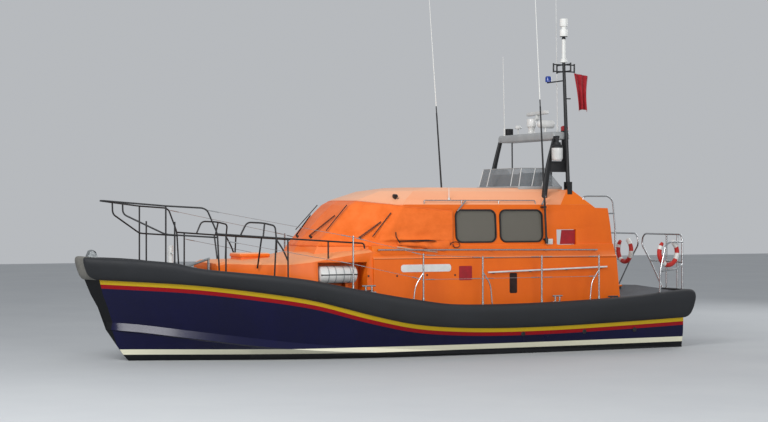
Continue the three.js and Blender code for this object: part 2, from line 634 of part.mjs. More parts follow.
function buildArch() {
  const roof = house(GAP).add(wingBlocks(GAP));
  const { x, z, half, deep, high } = ARCH;
  const beam = loft([[z, 0], [z + high * 0.6, 0], [z + high, 40]].map(([h, inset]) => {
    const a = deep / 2 - inset * 0.6;
    const b = half - inset;
    return [[x - a, -b + 30], [x - a + 30, -b], [x + a - 30, -b], [x + a, -b + 30], [x + a, b - 30],
      [x + a - 30, b], [x - a + 30, b], [x - a, b - 30]].map(([p, q]) => [p, q, h]);
  }));
  const pieces = [beam];
  for (const side of [1, -1]) {
    const y = side * (half - 45);
    pieces.push(
      loft([[z + 20, x + 208, 90], [3980, x + 385, 110], [3150, x + 510, 120]].map(([h, fore, w]) =>
        [[fore - w, y - 32], [fore, y - 32], [fore, y + 32], [fore - w, y + 32]].map(([a, b]) => [a, b, h]))),
      rod([x - 150, y, z + 30], [x - 160, y, 3300], 16, 8),
    );
  }
  pieces.push(
    box(x + 10, x + 160, -1080, -880, z + high - 10, z + high + 150),
    rod([x - 40, -740, z + high - 10], [x - 40, -740, z + high + 150], 18, 10),
    turned([[0, 0], [70, 0], [80, 30], [60, 75], [0, 90]], [x - 40, -740, z + high + 140], [0, 0, 1], 14),
    rod([x - 30, 500, z + high - 10], [x - 30, 500, z + high + 130], 30, 10),
    turned([[0, -205], [75, -205], [92, -175], [92, 120], [50, 190], [0, 205]],
      [x - 30, 500, z + high + 197], [1, 0, 0], 16),
    box(x - 185, x - 55, 1125, 1245, z + high - 10, z + high + 25),
    turned([[0, 0], [86, 0], [86, 85], [58, 112], [0, 118]], [x - 120, 1185, z + high + 20], [0, 0, 1], 14),
    box(x + 150, x + 205, 1200, 1425, z + 20, z + 70),
    rod([x + 190, 1385, z + 40], [x + 190, 1385, z - 80], 40, 10),
    turned([[0, 0], [100, 0], [122, 45], [122, 300], [84, 335], [76, 400], [0, 400]],
      [x + 190, 1385, z - 470], [0, 0, 1], 16),
    box(x - 160, x + 290, 1212, 1238, 3890, 4130),
    box(x - 160, x - 20, 1212, 1238, 4120, z + 20),
  );
  for (const [wx, wy, top] of [[x + 190, -980, 6600], [x - 130, 860, 7900]]) {
    pieces.push(rod([wx, wy, z + 60], [wx, wy, z + high + 160], 26, 10));
    pieces.push(rod([wx, wy, z + high + 150], [wx + 40, wy, top], 15, 8, 9));
  }
  place("radar_arch", join(pieces).subtract(roof), "grey");

  const base = z + high + GAP;
  const pedestal = join([
    turned([[0, 0], [100, 0], [100, 18], [78, 30], [78, 140], [110, 160], [110, 320], [85, 345], [0, 345]],
      [RADAR.x, 0, base], [0, 0, 1], 20),
    rod([RADAR.x, 0, base + 290], [RADAR.turnX, 0, base + 345], 45, 12),
    rod([RADAR.turnX, 0, base + 330], [RADAR.turnX, 0, base + 400], 50, 16),
  ]);
  place("radar_pedestal", pedestal, "white");
  const bar = base + 400 + GAP;
  const scanner = join([
    rod([0, 0, bar], [0, 0, bar + 30], 50, 16),
    plate([[-570, bar + 20], [570, bar + 20], [590, bar + 40], [590, bar + 90], [520, bar + 115],
      [-520, bar + 115], [-590, bar + 90], [-590, bar + 40]], "X", -60, 60),
  ]).rotate([0, 0, RADAR.yaw]).translate([RADAR.turnX, 0, 0]);
  place("radar_scanner", scanner, "white");
}

function buildMast() {
  const { x, footX, y, pivotZ, r } = MAST;
  const foot = join([
    box(footX - 60, footX + 60, y - 80, y - 51, 3400, pivotZ + 55),
    box(footX - 60, footX + 60, y + 51, y + 75, 3400, pivotZ + 55),
    box(footX - 60, footX + 60, y - 80, y + 75, 3400, pivotZ - 90),
  ]).subtract(house(GAP)).subtract(wingBlocks(GAP));
  place("mast_foot", foot, "black");
  const top = 6300;
  const pieces = [
    rod([footX, y, pivotZ - 40], [x, y, top], r, 12, 36),
    rod([footX, y - 50.5, pivotZ], [footX, y + 50.5, pivotZ], 24, 12),
    turned([[0, 0], [80, 0], [80, 30], [42, 100], [42, 490], [50, 490], [50, 510], [30, 560], [88, 560],
      [88, 720], [50, 722], [50, 790], [88, 790], [88, 960], [0, 965]], [x, y, top - 5], [0, 0, 1], 16),
  ];
  for (const z of [6080, 6230]) {
    pieces.push(box(x - 280, x + 270, y - 12, y + 12, z, z + 24));
    pieces.push(box(x - 12, x + 12, y - 300, y + 300, z, z + 24));
  }
  for (const [dx, dy] of [[-270, 0], [260, 0], [0, -290], [0, 290]]) {
    pieces.push(rod([x + dx, y + dy, 6070], [x + dx, y + dy, 6270], 18, 8));
  }
  pieces.push(
    box(x - 15, x + 15, y - 700, y, 5880, 5910),
    turned([[0, 0], [70, 0], [70, 110], [45, 135], [0, 140]], [x, y - 660, 5905], [0, 0, 1], 14),
    rod([x, y, 5500], [x - 160, y + 20, 5500], 14, 8),
  );
  place("mast", join(pieces), "black");
  place("ensign", box(-4487, -4024, y - 10, y + 10, 5212, 6070 - GAP), "flag");
}

function buildWhips() {
  const rows = [
    { name: "whip_port", side: 1, x: -3250, lean: 300, top: 7950 },
    { name: "whip_starboard", side: -1, x: -2370, lean: 410, top: 7950 },
  ];
  for (const { name, side, x, lean, top } of rows) {
    const y = side * 1560;
    const rise = top - 2330;
    const split = 0.53;
    const bracket = (z) => {
      const t = (z - 2330) / rise;
      const [, , w] = planAt(z);
      const cx = x + lean * t;
      return sideBox(side, cx - 40, cx + 40, w - 60, 1560, z - 20, z + 20)
        .subtract(house(GAP));
    };
    place(name, join([
      rod([x, y, 2330], [x + lean * split, y, 2330 + rise * split], 24, 8, 18),
      rod([x + lean * split, y, 2330 + rise * split - 5], [x + lean, y, top], 15, 8, 8),
      bracket(2420), bracket(3120),
    ]), "black");
  }
}

// Rails of one side from a table; each row is a polyline of [x, y, z] to port.
function railSet(rows, radius = TUBE) {
  return rows.map((row) => pipe(row, radius));
}

function foredeckRails(radius) {
  const pieces = [];
  for (const side of [1, -1]) {
    const s = (points) => points.map(([x, y, z]) => [x, side * y, z]);
    pieces.push(...railSet([
      s([[6217, 0, 3247], [6190, 140, 3245], [5137, 905, 3140], [4470, 1215, 3100], [4384, 1250, 3050],
        [4191, 1300, 2590], [4150, 1300, 1700]]),
      s([[5870, 372, 3210], [5864, 372, 2978], [5137, 890, 2572], [4184, 1300, 2510]]),
      s([[5137, 905, 3140], [5137, 905, 1800]]),
      s([[4970, 962, 2825], [4970, 962, 1800]]),
      s([[4184, 1300, 2580], [2770, 1530, 2480], [1850, 1450, 2420], [1060, 1470, 2370], [1040, 1470, 2020]]),
      s([[3008, 1496, 2497], [3040, 1480, 1600]]),
      s([[3300, 1440, 2515], [3300, 1200, 1850]]),
      s([[3020, 1486, 2490], [2880, 1530, 2270], [2782, 1560, 2041]]),
      s([[2770, 1530, 2480], [2790, 1600, 1500]]),
      s([[1850, 1450, 2420], [1850, 1450, 2040]]),
      s([[4018, 1325, 2570], [4018, 1325, 1700]]),
    ], radius));
  }
  return join(pieces);
}

// The raised loop that stands on the foredeck's side rail, with its inner post.
function railLoop(side) {
  const s = (points) => points.map(([x, y, z]) => [x, side * y, z]);
  return join(railSet([
    s([[3728, 1370, 2550], [3602, 1400, 2813], [3251, 1400, 2798], [3036, 1420, 2747], [3008, 1440, 2700],
      [3008, 1496, 2497]]),
    s([[3270, 1446, 2517], [3223, 1403, 2797]]),
  ]));
}

function guardPieces(side) {
  const y = side * 1985;
  const posts = [
    { x: 1485, top: 2535, wire: 1960, lean: 0, y: side * 1890 },
    { x: -60, top: 2160, wire: 1620, lean: 230, y },
    { x: -1450, top: 2090, wire: 1620, lean: -230, y },
    { x: -2880, top: 2090, wire: 1620, lean: 0, y },
    { x: -4330, top: 2080, wire: 1620, lean: 230, y: side * 1960 },
  ];
  const pieces = [];
  for (const post of posts) {
    const foot = deckHeight(post.x, post.y) - 120;
    pieces.push(pipe([[post.x, post.y, foot], [post.x, post.y, post.top]], 19, 6));
    pieces.push(rod([post.x, post.y, foot + 60], [post.x, post.y, foot + 150], 42, 8));
    if (post.lean) {
      const low = deckHeight(post.x + post.lean, post.y) - 120;
      pieces.push(pipe([[post.x, post.y, 1760], [post.x + post.lean * 0.8, post.y, 1500],
        [post.x + post.lean, post.y, low]], 14, 6));
    }
  }
  const upper = posts.map((post) => [post.x, post.y, post.top - 30]);
  const lower = posts.map((post) => [post.x, post.y, post.wire]);
  pieces.push(pipe([[4400, side * 1245, 3060], ...upper], WIRE, 4));
  pieces.push(pipe([[4018, side * 1325, 2440], ...lower], WIRE, 4));
  return join(pieces);
}

function buildRails() {
  const fat = foredeckRails(TUBE + GAP);
  const trunk = trunkShape(GAP).subtract(box(1030, 2085, 1110, 1900, 1300, 1985));
  place("foredeck_rails", onDeck(foredeckRails(TUBE)).subtract(trunk)
    .subtract(house(GAP)).subtract(lowerHouse(GAP)), "black");
  for (const side of [1, -1]) {
    const hand = side > 0 ? "port" : "starboard";
    place(`guard_rail_${hand}`, onDeck(guardPieces(side)).subtract(fat), "steel");
    place(`rail_loop_${hand}`, railLoop(side).subtract(fat), "black");

    const s = (points) => points.map(([x, y, z]) => [x, side * y, z]);
    const foot = fenderTop(STERN_RAIL_X) + GAP;
    const quarter = fenderTop(-5924) + GAP;
    const stern = railSet([
      s([[STERN_RAIL_X, 1690, foot], [STERN_RAIL_X, 1690, 2430], [STERN_RAIL_X, 1610, 2505],
        [STERN_RAIL_X, 200, 2505], [STERN_RAIL_X, 100, 2410], [STERN_RAIL_X, 80, 2240],
        [STERN_RAIL_X, 400, 1905], [STERN_RAIL_X, 900, foot]]),
      s([[STERN_RAIL_X, 415, 1885], [STERN_RAIL_X, 1690, 1885]]),
      s([[STERN_RAIL_X, 1500, 2505], [STERN_RAIL_X, 1500, foot]]),
      s([[STERN_RAIL_X, 1075, 2505], [STERN_RAIL_X, 1075, foot]]),
      s([[-5890, 2000, quarter + 4], [-5897, 2000, 1707], [-6065, 1966, 2278], [-6200, 1939, 2344],
        [-6488, 1881, 2344], [-6620, 1790, 2344], [STERN_RAIL_X, 1690, 2344]]),
      s([[-5897, 2000, 1707], [-6398, 1899, 1737], [-6600, 1800, 1827], [STERN_RAIL_X, 1690, 1850]]),
    ], STERN_TUBE);
    for (const y of [900, 1075, 1500, 1690]) {
      stern.push(rod([STERN_RAIL_X, side * y, foot], [STERN_RAIL_X, side * y, foot + 12], 34, 10));
    }
    stern.push(rod([-5890, side * 2000, quarter], [-5890, side * 2000, quarter + 12], 34, 10));
    place(`stern_rail_${hand}`, join(stern).subtract(box(-6900, -6500, -2500, 2500, 900, foot)), "steel");

    const ladder = railSet([
      s([[-4255, 1405, 3180], [-4275, 1405, 3342], [-4361, 1405, 3362], [-4923, 1405, 3363],
        [-5040, 1405, 3260], [-5105, 1405, 2611], [-5125, 1405, 1000]]),
      s([[-4700, 1405, 2981], [-5072, 1405, 2981]]),
      s([[-4800, 1405, 1900], [-5113, 1405, 1900]]),
    ]);
    place(`aft_handrail_${hand}`, join(ladder).subtract(underDeck(GAP)).subtract(wingShape()), "steel");

    const grab = [pipe(s([[820, 1655, 2235], [780, 1655, 2235], [-4480, 1655, 2185]]), 18, 6)];
    for (const x of [780, -540, -1860, -3180, -4440]) {
      const z = 2227 + (x - 780) * 0.0095;
      grab.push(sideBox(side, x - 15, x + 15, 1500, 1655, z - 15, z + 15));
    }
    place(`grab_rail_${hand}`, join(grab).subtract(lowerHouse(GAP)), "steel");
  }
}

// The wing walls of the aft cockpit, a little grown, for cutting what stands on them.
function wingShape() {
  const edge = WING.map(([a, b]) => [a - (a < -4600 ? GAP : 0), b + GAP]);
  const profile = plate([...edge, [-5087 - GAP, 800], [-3400, 800], [-3400, 3490 + GAP]], "Y", -2500, 2500);
  return house(GAP).add(lowerHouse(GAP)).add(wingBlocks(GAP)).intersect(profile)
    .subtract(box(-5200, -3531, -1365 + GAP, 1365 - GAP, 700, 3170))
    .subtract(box(-5200, -4010, -1365 + GAP, 1365 - GAP, 3160, 3800));
}

// A horseshoe buoy, open at the top, in the plane y = 0 with its round centre at the origin.
function horseshoe() {
  const ring = new THREE.Shape();
  const [outer, inner, open] = [330, 225, 0.72];
  ring.absarc(0, 0, outer, Math.PI / 2 + open, 2.5 * Math.PI - open, false);
  ring.absarc(0, 0, inner, 2.5 * Math.PI - open, Math.PI / 2 + open, true);
  const geometry = new THREE.ExtrudeGeometry(ring, { depth: 110, bevelEnabled: false, curveSegments: 16 });
  geometry.rotateX(Math.PI / 2);
  geometry.translate(0, 55, 0);
  return geometry;
}

function buildSafety() {
  const reach = STERN_TUBE * 0.99 + 55 + GAP;
  const quarter = horseshoe();
  const yaw = Math.atan2(2000 - 1899, -5897 + 6398);
  quarter.rotateZ(yaw);
  quarter.translate(-6215 + (reach - 0.75) * Math.sin(yaw), 1936 - (reach - 0.75) * Math.cos(yaw), 2110);
  place("lifebuoy_port", solid(quarter), "red");
  const astern = horseshoe();
  astern.rotateZ(Math.PI / 2);
  astern.translate(STERN_RAIL_X + reach, -545, 2110);
  place("lifebuoy_starboard", solid(astern), "red");
}

function buildGroundTackle() {
  const z = deckHeight(4750, 0);
  place("samson_post", onDeck(join([
    box(4660, 4840, -90, 90, z - 60, z + 14),
    rod([4750, 0, z], [4750, 0, z + 400], 55, 16),
    rod([4750, -150, z + 250], [4750, 150, z + 250], 20, 10),
  ])), "white");
  const low = deckHeight(4400, 420);
  place("anchor", onDeck(join([
    rod([4620, 420, low + 30], [4050, 420, low + 210], 24, 8),
    box(4500, 4560, 230, 610, low - 60, low + 60),
    plate([[4560, 240], [4640, 300], [4330, 390], [4400, 250]], "Z", low + 10, low + 34),
    plate([[4560, 600], [4640, 540], [4330, 450], [4400, 590]], "Z", low + 10, low + 34),
    box(4540, 4640, 250, 590, low + 5, low + 36),
    box(4060, 4090, 390, 450, low - 60, low + 215),
  ])), "steel");
}

function buildAftHatch() {
  const { x0, x1, half } = AFT_HATCH;
  const z = AFT_HATCH.z + GAP;
  place("aft_hatch_lid", join([
    box(x0, x1, -half, half, z, z + 40),
    box(x0 + 40, x0 + 80, -60, 60, z + 30, z + 75),
  ]), "orange");
}

function buildJets() {
  for (const side of [1, -1]) {
    const hand = side > 0 ? "port" : "starboard";
    const y = side * JET.y;
    const { z, pivotX, bucketX } = JET;
    const housing = join([
      box(-6130, -6100 - GAP, y - 250, y + 250, z - 250, z + 250),
      rod([-6120, y, z], [-6245, y, z], 205, 20),
      rod([-6240, y, z], [-6435, y, z], 115, 20),
      box(-6470, -6235, y - 40, y + 40, z + 198, z + 225),
      box(-6470, -6235, y - 40, y + 40, z - 225, z - 198),
      box(-6245, -6130, y - 40, y + 40, z + 150, z + 225),
      box(-6245, -6130, y - 40, y + 40, z - 225, z - 150),
      rod([bucketX, y - 269.5, z], [bucketX, y + 269.5, z], 45, 16),
      rod([bucketX, y - 290, z], [bucketX, y + 290, z], 20, 16),
    ]).subtract(rod([-6300, y, z], [-6500, y, z], 95, 20));
    place(`waterjet_housing_${hand}`, housing, "alloy");

    const nozzle = rod([pivotX, y, z], [pivotX - 180, y, z], 185, 20, 165)
      .subtract(rod([pivotX + 1, y, z], [pivotX - 200, y, z], 160, 20, 140))
      .add(rod([pivotX - 32, y, z + 165], [pivotX - 32, y, z + 197.5], 30, 12)
        .subtract(rod([pivotX + 1, y, z], [pivotX - 200, y, z], 160, 20, 140)))
      .add(rod([pivotX - 32, y, z - 165], [pivotX - 32, y, z - 197.5], 30, 12)
        .subtract(rod([pivotX + 1, y, z], [pivotX - 200, y, z], 160, 20, 140)));
    place(`steering_nozzle_${hand}`, nozzle, "alloy");

    const arc = [];
    for (let k = 0; k <= 6; k++) arc.push(THREE.MathUtils.degToRad(22 + k * 9));
    const round = (r, list) => list.map((a) => [bucketX - r * Math.cos(a), z + r * Math.sin(a)]);
    const shellOutline = [...round(500, arc), ...round(478, [...arc].reverse())];
    const arm = [...round(492, arc.slice(1, 6)), ...round(55, [2.6, 4.2, 5.8])];
    const bucket = join([
      plate(shellOutline, "Y", y - 294, y + 294),
      plate(arm, "Y", y - 294, y - 270),
      plate(arm, "Y", y + 270, y + 294),
    ]).subtract(rod([bucketX, y - 310, z], [bucketX, y + 310, z], 20 + GAP, 16));
    place(`reverse_bucket_${hand}`, bucket, "alloy");
  }
}

buildHull();
buildFender();
buildTrunk();
buildCabin();
buildCover();
buildInterior();
buildUpperHelm();
buildArch();
buildMast();
buildWhips();
buildRails();
buildSafety();
buildGroundTackle();
buildAftHatch();
buildJets();

export default part;
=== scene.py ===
"""A 13.6 m all-weather waterjet lifeboat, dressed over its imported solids, on a plain studio floor.

Metres, +X forward, +Y port, +Z up; the origin is amidships on the centreline at the waterline.
"""

import math

import bmesh
import bpy
import numpy as np
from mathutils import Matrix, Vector


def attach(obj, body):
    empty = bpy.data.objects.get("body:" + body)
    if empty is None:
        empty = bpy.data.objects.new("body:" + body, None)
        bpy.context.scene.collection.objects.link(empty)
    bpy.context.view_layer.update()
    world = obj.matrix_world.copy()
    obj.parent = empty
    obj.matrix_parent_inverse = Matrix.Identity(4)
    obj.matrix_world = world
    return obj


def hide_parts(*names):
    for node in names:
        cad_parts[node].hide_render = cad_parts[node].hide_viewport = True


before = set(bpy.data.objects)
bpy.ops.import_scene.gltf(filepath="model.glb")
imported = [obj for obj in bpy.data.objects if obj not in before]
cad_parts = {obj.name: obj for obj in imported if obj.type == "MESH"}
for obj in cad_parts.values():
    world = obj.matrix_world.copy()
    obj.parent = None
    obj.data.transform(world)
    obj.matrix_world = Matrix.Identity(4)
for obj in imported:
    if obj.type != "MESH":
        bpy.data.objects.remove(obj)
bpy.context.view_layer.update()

# Camera: 25 degrees forward of the port beam, 3.1 m above the water.
camera_data = bpy.data.cameras.new("camera")
camera = bpy.data.objects.new("camera", camera_data)
bpy.context.scene.collection.objects.link(camera)
bpy.context.scene.camera = camera
camera_data.lens = 79.0
camera_data.sensor_width = 36.0
camera_data.shift_y = -0.0039
camera_data.clip_end = 200.0
camera.location = (15.397, 33.204, 3.10)
bearing = math.radians(25)
heading = Vector((-math.sin(bearing), -math.cos(bearing), 0))
camera.rotation_euler = heading.to_track_quat("-Z", "Y").to_euler()

# Hull lines, aft to stem. Columns: x, half breadth y, height z, in millimetres.
KEEL = np.array([
    [-6560, 0, -580], [-4000, 0, -690], [-1000, 0, -750], [2000, 0, -745],
    [3500, 0, -690], [4500, 0, -590], [5050, 0, -450], [5420, 0, -250],
]) / 1000
CHINE = np.array([
    [-6560, 1890, -30], [-4000, 1880, 0], [-2000, 1850, 40], [0, 1770, 90], [1000, 1690, 130],
    [2000, 1550, 185], [3000, 1330, 270], [3850, 1080, 377], [4800, 680, 503], [5500, 330, 595],
    [6105, 25, 645],
]) / 1000
KNUCKLE = np.array([
    [-6560, 1915, 330], [-4000, 1955, 330], [-2000, 1975, 380], [0, 1935, 560], [1000, 1880, 700],
    [2000, 1780, 890], [3000, 1580, 1040], [3900, 1320, 1150], [4850, 950, 1240], [5700, 540, 1310],
    [6420, 30, 1370],
]) / 1000
FOOT = np.array([
    [-6560, 1930, 660], [-5300, 1965, 620], [-3300, 2020, 570], [-1700, 2035, 570],
    [-600, 2030, 620], [200, 2010, 710], [1200, 1955, 930], [2300, 1830, 1220], [3600, 1540, 1430],
    [4700, 1160, 1560], [5840, 560, 1632], [6540, 40, 1664],
]) / 1000
SHEER = np.array([
    [-6560, 1940, 1240], [-5400, 1985, 1140], [-4300, 2025, 1080], [-2300, 2060, 1030],
    [-600, 2065, 1060], [500, 2040, 1230], [1400, 1975, 1390], [2300, 1865, 1580],
    [3100, 1715, 1690], [4200, 1400, 1800], [4600, 1235, 1855], [5050, 1050, 1960],
    [5800, 650, 2025], [6300, 300, 2052], [6620, 50, 2080],
]) / 1000
# Stations x at which the fender takes its section, in millimetres.
STATIONS = np.array([
    -6560, -5400, -4200, -3000, -1800, -700, 200, 1000, 1700, 2400, 3100, 3800, 4350, 4650, 4850,
    5050, 5550, 5950, 6270, 6480, 6620,
]) / 1000

# Upper house by level, in millimetres. Columns: z, aft x, aft y, corner x, corner y, quarter x,
# quarter y, nose x.
HOUSE = np.array([
    [2080, -5120, 1508, 750, 1515, 1965, 888, 2075],
    [2200, -5120, 1500, 680, 1500, 1900, 870, 2010],
    [2330, -5120, 1490, 600, 1480, 1830, 850, 1945],
    [2750, -5120, 1462, 370, 1455, 1420, 820, 1520],
    [3170, -5120, 1430, 130, 1420, 1040, 780, 1120],
    [3280, -5120, 1320, 20, 1300, 850, 720, 930],
    [3460, -5120, 1100, -280, 1050, 300, 620, 380],
    [3540, -5120, 950, -700, 850, -350, 560, -300],
]) / 1000
# The cabin side below its waist, in millimetres. Columns: z, half breadth y.
LOWER = np.array([[800, 1625], [2050, 1610], [2075, 1572], [2310, 1525]]) / 1000
# The mast's middle at its head and at its foot, its distance to port and its pivot's height.
MAST = {"x": -3.815, "foot_x": -3.925, "y": 1.34, "pivot": 3.62}
# The radar arch's beam: middle, underside, half width and top.
ARCH_X, ARCH_Z, ARCH_HALF = -3.81, 4.61, 1.27
ARCH_TOP = ARCH_Z + 0.17
# Each waterjet's distance from the centreline.
JET_Y = 0.7
SIDES = {"port": 1, "starboard": -1}


def linear(code):
    """An sRGB hex colour as linear red, green, blue and alpha."""
    rgb = np.array([int(code[i : i + 2], 16) for i in (0, 2, 4)]) / 255
    rgb = np.where(rgb <= 0.04045, rgb / 12.92, ((rgb + 0.055) / 1.055) ** 2.4)
    return (*rgb.tolist(), 1.0)


def add(tree, kind, settings=None, **links):
    """Adds a shader node of a kind: settings name its sockets or its own properties, and links feed
    its inputs. A name such as i6 is the socket's number."""
    node = tree.nodes.new("ShaderNode" + kind)
    socket = lambda key: node.inputs[int(key[1:]) if key[0] == "i" and key[1:].isdigit() else key]
    for key, value in (settings or {}).items():
        if hasattr(node, key):
            setattr(node, key, value)
        else:
            socket(key).default_value = value
    for key, source in links.items():
        tree.links.new(source, socket(key))
    return node


def new_material(name, **shader):
    """An empty material with its shader's plain values set; returns it, its tree and the shader."""
    material = bpy.data.materials.new(name)
    material.use_nodes = True
    tree = material.node_tree
    body = tree.nodes["Principled BSDF"]
    for key, value in shader.items():
        body.inputs[key.replace("_", " ")].default_value = value
    return material, tree, body


def coats(tree, body, colour, layers):
    """Lays coats over a colour and feeds the shader. Each coat is (value, low, high, hex), and covers
    where its value lies between low and high."""
    for value, low, high, code in layers:
        edge = min(0.002, (high - low) / 4)
        on = add(tree, "MapRange", {"From Min": low - edge, "From Max": low + edge}, Value=value)
        off = add(tree, "MapRange", {"From Min": high + edge, "From Max": high - edge}, Value=value)
        mask = add(tree, "Math", {"operation": "MULTIPLY"}, i0=on.outputs[0], i1=off.outputs[0])
        colour = add(tree, "Mix", {"data_type": "RGBA", "i7": linear(code)}, i0=mask.outputs[0],
                     i6=colour).outputs[2]
    tree.links.new(colour, body.inputs["Base Color"])


def weathered(tree, body, colour, shade, patch, grain, depth, rough, streak=1.0):
    """Slow colour patches, a fine grain in the bump and roughness that wanders with the patches.

    patch and grain are sizes in metres, depth is the grain's height, rough is (least, most).
    """
    place = add(tree, "TexCoord").outputs["Object"]
    stretched = add(tree, "Mapping", {"Scale": (1, 1, 1 / streak)}, Vector=place).outputs[0]
    slow = add(tree, "TexNoise", {"Scale": 1 / patch, "Detail": 5.0, "Roughness": 0.6},
               Vector=stretched).outputs["Fac"]
    level = add(tree, "MapRange", {"From Min": 0.35, "From Max": 0.7}, Value=slow).outputs[0]
    paint = add(tree, "Mix", {"data_type": "RGBA", "i6": linear(colour), "i7": linear(shade)},
                i0=level).outputs[2]
    tree.links.new(paint, body.inputs["Base Color"])
    wander = add(tree, "MapRange", {"From Min": 0.3, "From Max": 0.7, "To Min": rough[0],
                                    "To Max": rough[1]}, Value=slow).outputs[0]
    tree.links.new(wander, body.inputs["Roughness"])
    fine = add(tree, "TexNoise", {"Scale": 1 / grain, "Detail": 3.0}, Vector=place).outputs["Fac"]
    bump = add(tree, "Bump", {"Strength": 1.0, "Distance": depth}, Height=fine)
    tree.links.new(bump.outputs[0], body.inputs["Normal"])
    return paint, bump


def coated(name, colour, shade, rough, patch=0.6, grain=0.004, depth=0.0002, streak=1.0, **shader):
    """A plain weathered finish; shader holds its fixed values."""
    material, tree, body = new_material(name, **shader)
    weathered(tree, body, colour, shade, patch, grain, depth, rough, streak)
    return material


def navy_gelcoat():
    """Polished navy gelcoat on the hull, banded yellow and red under the fender and cream at the
    water, with a black guard strip down the stem; its clear coat gives long soft reflections."""
    material, tree, body = new_material("navy_gelcoat", Coat_Weight=0.12, Coat_Roughness=0.1,
                                        Specular_IOR_Level=0.25)
    paint, _ = weathered(tree, body, "0A0B35", "07082A", 1.2, 0.05, 0.0003, (0.16, 0.3), 3.0)
    drop = add(tree, "SeparateXYZ", Vector=add(tree, "UVMap").outputs[0]).outputs["Y"]
    place = add(tree, "TexCoord").outputs["Object"]
    cuts = add(tree, "SeparateXYZ", Vector=place)
    across = add(tree, "Math", {"operation": "ABSOLUTE"}, i0=cuts.outputs["Y"]).outputs[0]
    ahead = add(tree, "MapRange", {"From Min": 6.0, "From Max": 6.5, "To Min": 0.02, "To Max": 0.09},
                Value=cuts.outputs["X"]).outputs[0]
    stem = add(tree, "Math", {"operation": "SUBTRACT"}, i0=across, i1=ahead).outputs[0]
    bow = add(tree, "Math", {"operation": "SUBTRACT", "i1": 5.9}, i0=cuts.outputs["X"]).outputs[0]
    strip = add(tree, "Math", {"operation": "MULTIPLY_ADD", "i1": -0.4}, i0=bow, i2=stem).outputs[0]
    coats(tree, body, paint, [
        (drop, -0.03, 0.085, "C8A616"), (drop, 0.085, 0.165, "93000F"),
        (cuts.outputs["Z"], 0.125, 0.235, "E2DFC6"), (cuts.outputs["Z"], -3.0, 0.125, "0B0C10"),
        (strip, -3.0, 0.0, "0C0D10"),
    ])
    return material


def enamel_lit_from_above(name, colour, shade, top, rough, grain=0.003, depth=0.00015):
    """Two-pack enamel, sprayed: faces that look up are painted paler, a painted highlight for the light that
    falls on them from above.
    """
    material, tree, body = new_material(name, Coat_Weight=0.08, Coat_Roughness=0.25, Specular_IOR_Level=0.35)
    paint, _ = weathered(tree, body, colour, shade, 0.9, grain, depth, rough, 2.0)
    # Painted highlight: the top colour is mixed in as faces turn upwards, standing in for the light from
    # above.
    normal = add(tree, "NewGeometry").outputs["Normal"]
    up = add(tree, "SeparateXYZ", Vector=normal).outputs["Z"]
    top_light_amount = add(tree, "MapRange", {"From Min": 0.45, "From Max": 0.95, "To Max": 0.75},
                 Value=up).outputs[0]
    paint_with_top_light = add(tree, "Mix", {"data_type": "RGBA", "i7": linear(top)}, i0=top_light_amount, i6=paint)
    tree.links.new(paint_with_top_light.outputs[2], body.inputs["Base Color"])
    return material


def banded(name, bands, base, shade, rough):
    """A finish whose colour changes with height; bands are (low, high, hex)."""
    material, tree, body = new_material(name)
    paint, _ = weathered(tree, body, base, shade, 0.5, 0.004, 0.0001, rough)
    place = add(tree, "TexCoord").outputs["Object"]
    value = add(tree, "SeparateXYZ", Vector=place).outputs["Z"]
    coats(tree, body, paint, [(value, *row) for row in bands])
    return material


def woven(name, colour, shade, thread, rough, depth, sheen=0.2, patch=0.3):
    """Coated cloth: two crossed waves a thread apart make the weave, over slow fading. The threads are
    drawn 3 or 4 mm apart, coarser than the real cloth's, so that the weave shows from close by."""
    material, tree, body = new_material(name, Sheen_Weight=sheen, Sheen_Roughness=0.4)
    _, bump = weathered(tree, body, colour, shade, patch, thread * 6, depth, rough)
    place = add(tree, "TexCoord").outputs["Object"]
    waves = [
        add(tree, "TexWave", {"bands_direction": way, "Scale": 0.314 / thread, "Distortion": 0.4},
            Vector=place).outputs["Fac"]
        for way in ("DIAGONAL", "Z")
    ]
    cloth = add(tree, "Math", {"operation": "MULTIPLY"}, i0=waves[0], i1=waves[1]).outputs[0]
    weave = add(tree, "Bump", {"Strength": 0.5, "Distance": depth}, Height=cloth,
                Normal=bump.outputs[0])
    tree.links.new(weave.outputs[0], body.inputs["Normal"])
    return material


def glazing(name, colour, alpha, rough=0.03):
    """Toughened glass or acrylic, tinted through; the tint darkens what is behind it."""
    material, tree, body = new_material(name, Roughness=rough, IOR=1.5, Alpha=alpha)
    place = add(tree, "TexCoord").outputs["Object"]
    smear = add(tree, "TexNoise", {"Scale": 3.0, "Detail": 4.0}, Vector=place).outputs["Fac"]
    body.inputs["Base Color"].default_value = linear(colour)
    ripple = add(tree, "Bump", {"Strength": 0.2, "Distance": 0.0004}, Height=smear)
    tree.links.new(ripple.outputs[0], body.inputs["Normal"])
    return material


